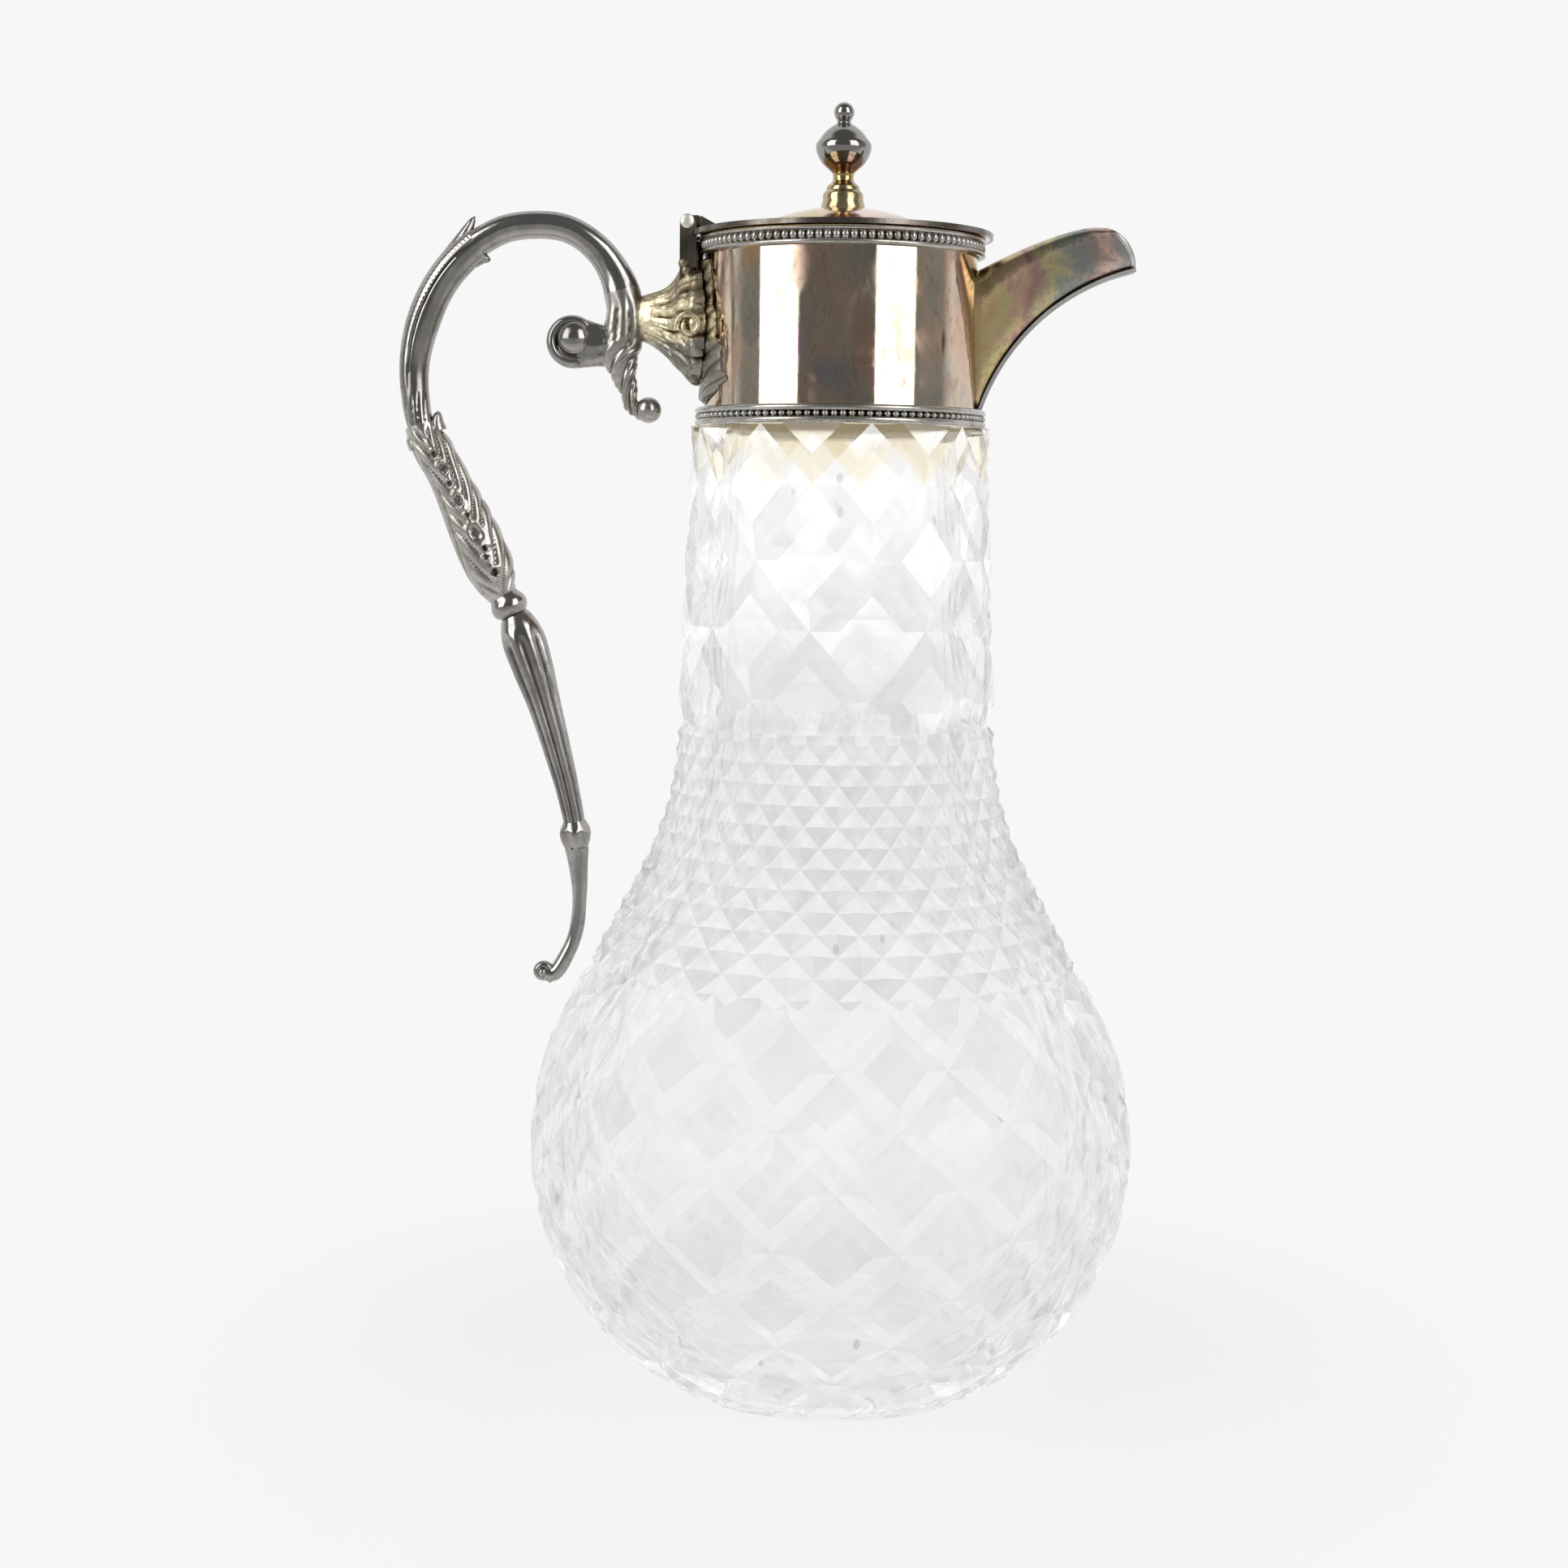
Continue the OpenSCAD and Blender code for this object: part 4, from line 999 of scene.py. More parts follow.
class JUG_OT_handle(bpy.types.Operator):
    """Make the cast scroll handle: trunk, scroll, arch, leaves, knop, fluted stem and tail"""
    bl_idname = "claret_jug.handle"
    bl_label = "Handle"

    def execute(self, context):
        depth = context.scene.jug_metal.carving

        def carved(relief):
            return lambda u, a: (relief(u, a)[0] * depth, relief(u, a)[1])

        def length(node, finish, run, size, shape, steps, sides, carve=None, more=()):
            """One length of the handle: shape is its half thickness and half width, as shares of size."""
            piece = handle_skin(node + "_cast", run, size, shape, steps, sides, carve)
            if more:
                piece = join_pieces(node + "_cast", [piece, *more])
            dress(piece, finish_named(finish), "jug", node, slot="handle_plate")

        length("handle_trunk", "leaf_plate", TRUNK, TRUNK_HALF_T, [
            (0.31, 0.31), (0.33, 0.33), (0.4, 0.4), (0.52, 0.5), (0.75, 0.67), (0.96, 0.79), (1, 0.83),
            (0.92, 0.83), (0.86, 0.79)], 180, 80, carved(trunk_leaf),
               [ball_piece("trunk_drop", on_handle(TRUNK[0]), 2.9)])
        dress(scroll_piece(), finish_named("handle_plate"), "jug", "handle_volute", slot="handle_plate")
        length("handle_arch", "handle_plate", ARCH, ARCH_HALF_T, [
            (1.33, 1.22), (1.1, 1), (1, 1), (1, 1), (1, 1), (1.02, 1.02)], 90, 64)
        length("leaf_sheath", "handle_plate", SHEATH, ARCH_HALF_T, [
            (1.24, 1.2), (1.22, 1.15), (1.22, 1.15), (1.06, 1), (1, 1)], 240, 72, carved(sheath_leaf),
               [cusp_piece("sheath_cusp_out", SHEATH[0] + 0.95, -1, 1.4, 5, 13.6, 2.3),
                cusp_piece("sheath_cusp_in", SHEATH[0] + 0.3, 1, 2.2, 34, 3.8, 1.8)])
        length("leaf_grip", "leaf_plate", GRIP, GRIP_HALF_T, [
            (0.62, 0.6), (0.8, 0.72), (0.8, 0.76), (0.86, 0.8), (0.95, 0.86), (1, 0.9), (0.92, 0.84),
            (0.56, 0.54)], 260, 96, carved(grip_leaf),
               [cusp_piece("grip_cusp_out", GRIP[0] + 0.45, -1, 2.7, 20, 2.7, 2.0),
                cusp_piece("grip_cusp_in", GRIP[0] + 0.35, 1, 3.2, 22, 4.4, 1.9)])
        length("knop_ring", "handle_plate", KNOP, KNOP_R, [
            (0.8, 0.8), (1, 1), (0.96, 0.96), (0.7, 0.7)], 24, 64)
        length("fluted_stem", "handle_plate", STEM, STEM_HALF_T, [
            (0.66, 0.66), (1, 1), (0.96, 0.96), (0.8, 0.8), (0.7, 0.7), (0.62, 0.62), (0.55, 0.55),
            (0.5, 0.5)], 120, 96, stem_flute)
        length("tail_collar", "handle_plate", TAIL_COLLAR, TAIL_HALF_T, [
            (1.6, 1.6), (2.3, 2.1), (2.2, 2.0), (1.7, 1.6)], 30, 48, collar_lobes)
        length("tail_scroll", "handle_plate", TAIL, TAIL_HALF_T, [
            (1.7, 1.6), (1.25, 1.2), (1, 1), (1, 1), (1, 1), (1.1, 1.1), (1.1, 1.1)], 80, 40, None,
               [curl_piece()])
        return {"FINISHED"}


def ball_piece(name, centre, r, squash=1.0, sides=48):
    """Ball about a point of the handle's plane, squashed across the plane."""
    points = []
    rows = sides // 2
    for i in range(1, rows):
        lift = math.pi * i / rows
        points += [(centre[0] + r * math.sin(lift) * math.cos(TURN * k / sides), squash * r * math.cos(lift),
                    centre[1] + r * math.sin(lift) * math.sin(TURN * k / sides)) for k in range(sides)]
    ends = [(centre[0], y, centre[1]) for y in (squash * r, -squash * r)]
    return capped_tube(name, points, sides, ends, 60.0, [0.0] * len(points))


def cusp_piece(name, t, side, off, lean, length, root_r):
    """Pointed leaf tip that leans off the handle towards the crown, bent outwards at its tip."""
    p, step, _ = handle_frame(t)
    up = -step
    n = side * np.array([up[1], -up[0]])
    lean = math.radians(lean)
    points, hollow = [], []
    steps, sides = 16, 24
    for i in range(steps + 1):
        u = i / steps
        bend = lean * (0.5 + 0.7 * u)
        d = up * math.cos(bend) + n * math.sin(bend)
        c = p + n * off + d * length * u
        r = root_r * (1 - u) ** 0.5 + 0.12
        for k in range(sides):
            a = TURN * k / sides
            flat = r * (1 - 0.25 * abs(math.sin(a)) ** 4)
            points.append(oval_point(c, (-d[1], d[0]), flat, r * 1.1, a))
            hollow.append(0.5 * math.exp(-(math.cos(a) / 0.3) ** 2) * (1 - u))
    return capped_tube(name, points, sides, [in_plane(p + n * off), in_plane(c + d * 0.1)], 45.0, hollow)


def spiral_tube(name, centre, radii, a0, turns, tubes, ease=0.9, steps=140, sides=28):
    """Tube that winds in towards a centre in the handle's plane."""
    path = []
    for i in range(steps + 1):
        u = i / steps
        a = a0 + turns * TURN * u
        r = mix(*radii, u ** ease)
        path.append(np.array([centre[0] + r * math.cos(a), centre[1] + r * math.sin(a)]))
    points, hollow = [], []
    for i in range(steps + 1):
        u = i / steps
        step = path[min(steps, i + 1)] - path[max(0, i - 1)]
        step /= np.linalg.norm(step)
        tube = mix(*tubes, u)
        for k in range(sides):
            a = TURN * k / sides
            points.append(oval_point(path[i], (-step[1], step[0]), tube, tube * mix(1.25, 1.6, u), a))
            hollow.append(0.7 * abs(math.cos(a)) ** 3)
    return capped_tube(name, points, sides, [in_plane(path[0]), in_plane(path[-1])], 60.0, hollow, 0.5)


def scroll_piece():
    """Scroll beside the trunk: a tube that winds in to a round boss, and its thick neck."""
    trunk = on_handle(6)
    centre = np.array([trunk[0] - 1.82 * VOLUTE_R, trunk[1] - 0.15 * VOLUTE_R])
    tube = spiral_tube("scroll_tube", centre, (4.75, 3.6), math.radians(-75), -1.2, (1.3, 0.9), 3.0)
    boss = ball_piece("scroll_boss", centre + np.array([0.4, 0.6]), 4.1, 0.92)
    points, hollow = [], []
    steps, sides = 24, 40
    start, end = centre + np.array([1.0, -0.2]), trunk + np.array([0.2, -2.5])
    for i in range(steps + 1):
        u = i / steps
        high, wide = mix(5.8, 4.3, u) - 0.3 * math.sin(math.pi * u), mix(1.6, 3.4, u ** 0.7)
        for k in range(sides):
            a = TURN * k / sides
            valley = (1 - ridges(1.7 * math.cos(a) - 1.5 * u + 0.3)) * float(smooth(0.25, 0.6, u))
            points.append(oval_point(mix(start, end, u), (0, 1), high - 0.2 * valley, wide - 0.9 * valley, a))
            hollow.append(0.9 * valley)
    neck = capped_tube("scroll_neck", points, sides, [in_plane(start), in_plane(end)], 60.0, hollow)
    return join_pieces("handle_volute_cast", [tube, boss, neck])


def curl_piece():
    """Curled end of the tail."""
    centre = on_handle(TAIL[1] + 0.2)
    tube = spiral_tube("curl_tube", centre, (2.05, 0.9), math.radians(-60), 1.1, (1.1, 0.7), steps=80)
    boss = ball_piece("curl_eye", centre, 1.35, 1.5)
    disc = ball_piece("curl_disc", centre, 2.1, 0.6)
    return join_pieces("tail_curl", [tube, boss, disc])


# ---- Bracket ----

PLATE_EDGE = [(0.33, 0.01), (0.67, 0.06), (1, 0.15), (0.855, 0.27), (0.89, 0.36), (0.7, 0.45),
              (0.71, 0.58), (0.555, 0.67), (0.565, 0.82), (0.445, 0.97), (0.2, 1)]
ARM = [(1.12, -0.014, 0.32, 0.22), (0.88, 0, 0.416, 0.364), (0.66, 0.042, 0.556, 0.49),
       (0.52, 0.056, 0.708, 0.636), (0.42, 0.035, 0.833, 0.745), (0.29, 0.069, 0.958, 0.873),
       (0.18, 0.083, 1, 0.964), (-0.10, 0.083, 1, 1)]


def leaf_plate():
    """Leaf plate that hugs the band, with lobes along its edges."""
    low, top = COLLAR_Z + BORDER_H + 0.6, RIM_Z - BORDER_H - 0.3
    rows, columns = 110, 90
    heights = [p[1] for p in PLATE_EDGE]
    points, hollow = [], []
    for back in (False, True):
        for i in range(rows + 1):
            v = i / rows
            at = np.interp(v, heights, range(len(heights)))
            half = max(0.2, float(along(PLATE_EDGE, at)[0])) * PLATE_HALF_W
            half *= 0.9 + 0.1 * abs(math.sin(math.pi * v * 9)) ** 0.6
            z = mix(low, top, v)
            for k in range(columns + 1):
                s = mix(-1, 1, k / columns)
                turn = s * half / COLLAR_R
                swell = abs(math.sin(math.pi * (v * 9 - 1.6 * abs(s)))) ** 0.6
                thick = PLATE_T * (1 - abs(s) ** 5) * (0.45 + 0.55 * swell)
                ends = float(smooth(0, 0.04, v) * (1 - smooth(0.96, 1, v)))
                r = COLLAR_R + SEAM + (0.0 if back else 0.12 + thick * ends * 0.92)
                points.append((-r * math.cos(turn), r * math.sin(turn), z))
                hollow.append(1 - swell)
    n = columns + 1
    faces = grid_faces(rows + 1, n, 0, False) + grid_faces(rows + 1, n, (rows + 1) * n, False)
    back = (rows + 1) * n
    for i in range(rows):
        for k in (0, columns):
            faces.append((i * n + k, (i + 1) * n + k, back + (i + 1) * n + k, back + i * n + k))
    for k in range(columns):
        for i in (0, rows):
            faces.append((i * n + k, i * n + k + 1, back + i * n + k + 1, back + i * n + k))
    plate = mesh_piece("bracket_plate_back", points, faces, 50.0, hollow)
    return join_pieces("bracket_plate_cast", [plate, crest_piece()])


CREST_X, CREST_LOW, CREST_TOP = -32.3, 245.5, 257.0


def crest_piece():
    """Leaf tip of the plate between the hinge post and the border, with lobes down both its edges."""
    steps, sides = 30, 64
    points, hollow = [], []
    for i in range(steps + 1):
        u = i / steps
        thick = 1.3 * (1 - float(smooth(0.9, 1.0, u)) * 0.4)
        for k in range(sides):
            a = TURN * k / sides
            valley = 1 - ridges(2.5 * math.sin(a) + 1.5 * u, 0.6)
            points.append((CREST_X - (thick - 0.3 * valley) * math.cos(a),
                           (5.2 - 1.6 * u - 0.4 * valley) * math.sin(a), mix(CREST_LOW, CREST_TOP, u)))
            hollow.append(0.5 + 0.5 * valley)
    ends = [(CREST_X, 0, z) for z in (CREST_LOW, CREST_TOP)]
    pieces = [capped_tube("plate_crest", points, sides, ends, 50.0, hollow, 0.5)]
    for side in (-1, 1):
        for n in range(5):
            lobe = ball_piece("crest_lobe", (-35.1 + 0.62 * n, 252.0 - 1.6 * n), 1.25, 0.9, 24)
            pieces.append(shifted(lobe, side * (4.9 + 0.3 * n) * MM))
    return join_pieces("plate_crest_cast", pieces)


def leaf_arm():
    """Arm between plate and trunk: a fan of long leaf lobes that curl at the plate."""
    steps, sides = 150, 120
    seat_r = COLLAR_R + PLATE_T + SEAM
    points, hollow = [], []
    for i in range(steps + 1):
        u = i / steps
        reach, sink, half_h, half_w = along(ARM, (len(ARM) - 1) * u)
        x = -(COLLAR_R + reach * BRACKET_LEN)
        for k in range(sides):
            a = TURN * k / sides
            up = math.sin(a)
            lobe = ridges(2.6 * up + 0.5 + 0.3 * (1 - u), 0.6)
            vein = ridges(7.8 * up + 0.5 + 0.9 * (1 - u), 0.8)
            curl = ridges(u * 3.2 - 1.1 * up * up, 0.6)
            grow = float(smooth(0.02, 0.4, u))
            tip = grow * float(smooth(0.5, 0.95, u))
            valley = 0.75 * (1 - lobe) * grow + 0.4 * (1 - vein) * grow + 0.4 * (1 - curl) * tip
            cut = 1.6 * valley
            y = (ARM_HALF_W * half_w - cut) * math.cos(a)
            z = CHORD_TOP[1] + ARM_HALF_H * (half_h * up - sink) - cut * up
            points.append((min(x, -math.sqrt(max(0.0, seat_r ** 2 - y * y))), y, z))
            hollow.append(min(1.0, 1.1 * valley))
    ends = []
    for row in (0, steps):
        ring = points[row * sides:(row + 1) * sides]
        ends.append([sum(p[n] for p in ring) / sides for n in range(3)])
    ends[1][0] = -seat_r
    arm = capped_tube("arm_lobes", points, sides, ends, 60.0, hollow)
    centre = (-33.7, CHORD_TOP[1] - 2.0)
    scrolls = []
    for side in (-1, 1):
        scroll = spiral_tube("arm_scroll", centre, (2.9, 1.2), math.radians(200), -1.15, (0.85, 0.6),
                             steps=80, sides=20)
        scrolls.append(shifted(scroll, side * 9.7 * MM))
    return join_pieces("bracket_arm_cast", [arm, *scrolls])


class JUG_OT_bracket(bpy.types.Operator):
    """Make the leaf bracket that holds the handle to the band"""
    bl_idname = "claret_jug.bracket"
    bl_label = "Bracket"

    def execute(self, context):
        gold = finish_named("bracket_plate")
        dress(leaf_plate(), gold, "jug", "bracket_plate", slot="bracket_plate")
        dress(leaf_arm(), gold, "jug", "bracket_arm", slot="bracket_plate")
        return {"FINISHED"}


class JUG_OT_glass(bpy.types.Operator):
    """Cut the glass bottle: diamonds on the neck and bulb, small points on the shoulder"""
    bl_idname = "claret_jug.glass"
    bl_label = "Cut glass"

    def execute(self, context):
        sector = glass_sector(context.scene.jug_glass)
        bottle = new_object("cut_bottle", new_mesh("cut_bottle", sector.points, sector.faces))
        run_tree(bottle, sector_tree(), Copies=SECTORS)
        bm = bmesh.new()
        bm.from_mesh(bottle.data)
        bmesh.ops.dissolve_degenerate(bm, dist=SLIVER, edges=bm.edges[:])
        bmesh.ops.recalc_face_normals(bm, faces=bm.faces[:])
        open_edges = sum(1 for e in bm.edges if len(e.link_faces) != 2)
        bm.to_mesh(bottle.data)
        bm.free()
        if open_edges:
            raise RuntimeError(f"the bottle has {open_edges} open edges")
        facet_shades(bottle.data, context.scene.jug_glass)
        finish_shading(bottle.data, 9.0)
        dress(bottle, finish_named("cut_glass"), "jug", "glass_body", slot="cut_glass")
        return {"FINISHED"}


# ---- Collar ----

WINDOW_PARTS, BAND_PARTS = 8, 200


def window_band():
    """Band with the pouring window cut through it."""
    half = math.asin(WINDOW_HALF_W / COLLAR_R)
    turns = [mix(-half, half, k / WINDOW_PARTS) for k in range(WINDOW_PARTS + 1)]
    turns += [mix(half, TURN - half, k / BAND_PARTS) for k in range(1, BAND_PARTS)]
    z_lines = [COLLAR_Z, COLLAR_Z + 5, WINDOW_Z, WINDOW_Z + WINDOW_H / 2, WINDOW_Z + WINDOW_H,
               RIM_Z - 4, RIM_Z]
    points = [(r * math.cos(a), r * math.sin(a), z)
              for r in (COLLAR_R, BAND_IN_R) for z in z_lines for a in turns]
    n, rows = len(turns), len(z_lines) - 1

    def corner(i, k, wall):
        return wall * len(z_lines) * n + i * n + k % n

    faces = []
    for i in range(rows):
        for k in range(n):
            if i in (2, 3) and k < WINDOW_PARTS:
                continue
            quad = ((i, k), (i, k + 1), (i + 1, k + 1), (i + 1, k))
            faces += [[corner(*at, wall) for at in quad] for wall in (0, 1)]
    edges = [((i, k), (i, k + 1)) for i in (0, rows) for k in range(n)]
    edges += [((i, k), (i, k + 1)) for i in (2, 4) for k in range(WINDOW_PARTS)]
    edges += [((i, k), (i + 1, k)) for i in (2, 3) for k in (0, WINDOW_PARTS)]
    faces += [(corner(*a, 0), corner(*b, 0), corner(*b, 1), corner(*a, 1)) for a, b in edges]
    return mesh_piece("collar_band_sheet", points, faces, 40.0)


def moulding(name, out, z):
    """Back strip and two wires of a beaded border."""
    wire_r = 0.3 * out
    face = COLLAR_R + out
    edge = [(COLLAR_R, z)]
    edge += arc((face - wire_r, z + wire_r), wire_r, -math.pi / 2, math.radians(100), 12)
    edge += [(face - 0.95 * out, z + BORDER_H / 2)]
    edge += arc((face - wire_r, z + BORDER_H - wire_r), wire_r, math.radians(-100), math.pi / 2, 12)
    edge += [(COLLAR_R, z + BORDER_H)]
    strip = lathe(name, edge, 240, 35.0)
    far = face - wire_r
    keep_hollow(strip.data, [float(smooth(0.0, 0.8 * out, far - math.hypot(v.co.x, v.co.y) / MM))
                             for v in strip.data.vertices])
    return strip


class JUG_OT_collar(bpy.types.Operator):
    """Make the collar: band with its pouring window and the two beaded borders"""
    bl_idname = "claret_jug.collar"
    bl_label = "Collar"

    def execute(self, context):
        sizes = context.scene.jug_metal
        dress(window_band(), finish_named("collar_plate"), "jug", "collar_band", slot="collar_plate")
        tree = bead_tree()
        for node, out, z in (("top_border", TOP_OUT, RIM_Z - BORDER_H),
                             ("bottom_border", BOTTOM_OUT, COLLAR_Z)):
            strip = moulding(node + "_beaded", out, z)
            deep = 0.45 * out
            width = math.pi * (COLLAR_R + out - deep) / sizes.beads * 0.94
            size = (deep * MM, width * MM, (BORDER_H / 2 - 0.6 * out + 0.15) * MM)
            run_tree(strip, tree, Ring_radius=(COLLAR_R + out - deep) * MM, Height=(z + BORDER_H / 2) * MM,
                     Beads=sizes.beads, Bead_size=size)
            dress(strip, finish_named("border_plate"), "jug", node, slot="border_plate")
        paint_node("neck_cement", finish_named("cement"))
        paint_node("collar_ledge", finish_named("inner_plate"))
        return {"FINISHED"}


# ---- Spout ----

SPOUT_FOOT_Z = COLLAR_Z + BORDER_H + 0.4
KEEL_C = (COLLAR_R + SPOUT_REACH + 11.1, RIM_Z - 52.5)
LIP_R = 9.8
LIP_C = (COLLAR_R + SPOUT_REACH - LIP_R, RIM_Z + SPOUT_RISE - LIP_R)
ROOT_TOP_Z = RIM_Z - BORDER_H - 2.6


def spout_point(x, a, t):
    """Point of the spout's section at x, at angle a and set in by t."""
    share = 1 - max(0, 1 - (x - COLLAR_R) / (LIP_C[0] - COLLAR_R)) ** 1.4
    top = mix(ROOT_TOP_Z, RIM_Z + SPOUT_RISE, share) - t
    r = KEEL_R + KEEL_T
    low = max(SPOUT_FOOT_Z, KEEL_C[1] + math.sqrt(max(0, r * r - (KEEL_C[0] - x) ** 2))) + t
    half = mix(SPOUT_ROOT_HALF_W, SPOUT_LIP_HALF_W, (x - COLLAR_R) / SPOUT_REACH) - t
    c = math.copysign(abs(math.cos(a)) ** 0.6, math.cos(a))
    s = math.copysign(abs(math.sin(a)) ** 0.6, math.sin(a))
    return np.array([x, half * c * mix(0.45, 1, (s + 1) / 2), (top + low) / 2 + (top - low) / 2 * s])


def spout_ends(a, t):
    """Where a line along the spout leaves the band and where it meets the mouth."""
    x = COLLAR_R
    for _ in range(12):
        y = spout_point(max(x, 20.0), a, t)[1]
        x = math.sqrt(max(0, (COLLAR_R + SEAM) ** 2 - y * y))
    lo, hi = LIP_C[0], COLLAR_R + SPOUT_REACH
    for _ in range(40):
        mid = (lo + hi) / 2
        z = spout_point(mid, a, t)[2]
        inside = z <= LIP_C[1] or (mid - LIP_C[0]) ** 2 + (z - LIP_C[1]) ** 2 <= LIP_R ** 2
        lo, hi = (mid, hi) if inside else (lo, mid)
    return x, lo


def spout_sheet():
    """Beak spout: one sheet, open at the band and at the mouth, with a rounded lip."""
    steps, sides = 80, 96
    points = []
    for t in (0.0, SPOUT_WALL):
        angles = [TURN * (k + 0.5) / sides for k in range(sides)]
        ends = [spout_ends(a, t) for a in angles]
        for i in range(steps + 1):
            points += [spout_point(mix(x0, x1, i / steps), a, t) for a, (x0, x1) in zip(angles, ends)]
    inner = (steps + 1) * sides
    faces = grid_faces(steps + 1, sides) + grid_faces(steps + 1, sides, inner)
    for row in (0, steps):
        faces += [(row * sides + k, row * sides + (k + 1) % sides,
                   inner + row * sides + (k + 1) % sides, inner + row * sides + k) for k in range(sides)]
    return mesh_piece("spout_sheet", points, faces, 42.0)


def lip_wire():
    """Rounded bead along the edge of the mouth."""
    sides, round_sides, middle, r = 96, 12, SPOUT_WALL / 2, 0.62
    turns = [TURN * (k + 0.5) / sides for k in range(sides)]
    path = np.array([spout_point(spout_ends(a, middle)[1], a, middle) for a in turns])
    points = []
    for k in range(sides):
        step = path[(k + 1) % sides] - path[k - 1]
        step /= np.linalg.norm(step)
        n = np.cross(step, (0, 0, 1))
        n = n / np.linalg.norm(n) if np.linalg.norm(n) > 1e-3 else np.array([1.0, 0, 0])
        b = np.cross(step, n)
        for j in range(round_sides):
            a = TURN * j / round_sides
            points.append(path[k] + r * (n * math.cos(a) + b * math.sin(a)) + np.array([-r, 0, -0.2]))
    faces = [(k * round_sides + j, k * round_sides + (j + 1) % round_sides,
              ((k + 1) % sides) * round_sides + (j + 1) % round_sides, ((k + 1) % sides) * round_sides + j)
             for k in range(sides) for j in range(round_sides)]
    return mesh_piece("spout_lip", points, faces, 60.0)


class JUG_OT_spout(bpy.types.Operator):
    """Make the beak spout with its rounded lip and the keel strip under it"""
    bl_idname = "claret_jug.spout"
    bl_label = "Spout"

    def execute(self, context):
        dress(spout_sheet(), finish_named("spout_plate"), "jug", "spout_shell", slot="spout_plate")
        dress(lip_wire(), finish_named("keel_plate"), "jug", "spout_shell", slot="spout_plate")
        paint_node("spout_keel", finish_named("keel_plate"))
        return {"FINISHED"}


# ---- Lid, hinge and finial ----

def eased_copy(node, width):
    """Copy of a solid with its edges eased by a width in millimetres."""
    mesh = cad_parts[node].data.copy()
    mesh.name = node + "_eased"
    bm = bmesh.new()
    bm.from_mesh(mesh)
    bmesh.ops.remove_doubles(bm, verts=bm.verts[:], dist=SAME_PLACE)
    bmesh.ops.dissolve_limit(bm, angle_limit=math.radians(1.0), verts=bm.verts[:], edges=bm.edges[:])
    bm.to_mesh(mesh)
    bm.free()
    piece = new_object(mesh.name, mesh)
    ease = piece.modifiers.new("ease", "BEVEL")
    ease.width, ease.segments, ease.angle_limit = width * MM, 2, math.radians(35)
    bpy.context.view_layer.update()
    solid = bpy.data.meshes.new_from_object(piece.evaluated_get(bpy.context.evaluated_depsgraph_get()))
    solid.name = mesh.name
    piece.modifiers.clear()
    piece.data = solid
    bpy.data.meshes.remove(mesh)
    finish_shading(solid, 35.0)
    return piece


def pin_piece():
    """Hinge pin with a domed head at each end."""
    low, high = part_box("hinge_pin")
    centre = ((low[0] + high[0]) / 2 / MM, (low[2] + high[2]) / 2 / MM)
    heads = [shifted(ball_piece("pin_dome", centre, 1.6, 0.4), y) for y in (low[1], high[1])]
    return join_pieces("hinge_pin_headed", [eased_copy("hinge_pin", 0.1), *heads])


# Outlines of the finial: radius, for the foot as a share of its own, and height over its lower end
FOOT_R, FOOT_H, STUD_HOLE_R, NECK_R = 0.79 * FINIAL_R, 6.1, 1.55, 2.3
FOOT_OUTLINE = [(1, 0.2), (0.97, 0.9), (0.93, 1.6), (0.92, 2.2), (0.91, 2.9), (0.84, 3.45), (0.77, 3.75),
                (0.76, 4.15), (0.71, 4.75), (0.58, 5.3)]
BALL_OUTLINE = [(2.3, 0.1), (2.3, 0.8), (2.5, 1.5), (3.3, 2.3), (4.55, 3.4), (5.4, 4.6), (5.95, 5.8),
                (6.2, 6.9), (6.08, 7.9), (5.3, 9.0), (4.2, 10.4), (2.9, 11.5), (1.75, 12.2), (1.5, 12.5),
                (1.6, 12.75)]


def foot_outline():
    base = DOME_TOP_Z
    outline = [(r * FOOT_R, base + z) for r, z in FOOT_OUTLINE]
    outline += [(2.45, base + 5.75), (NECK_R, base + FOOT_H)]
    return [(STUD_HOLE_R, base - 0.2), (FOOT_R * 0.98, base - 0.45), *rounded(outline, 4),
            (STUD_HOLE_R, base + FOOT_H)]


def ball_outline():
    """Outline of the finial's ball, its neck and the bead on top, with the blind hole for the stud."""
    low = DOME_TOP_Z + FOOT_H
    outline = [(0.0, low + 2.7), (1.53, low + 2.7), (1.53, low), (NECK_R, low)]
    outline += rounded([(r, low + z) for r, z in BALL_OUTLINE], 4)
    top = low + 12.2 + 0.25 + BEAD_R
    start = math.asin((low + 12.8 - top) / BEAD_R)
    return outline + arc((0, top), BEAD_R, start, math.pi / 2, 24)[1:-1] + [(0.0, top + BEAD_R)]


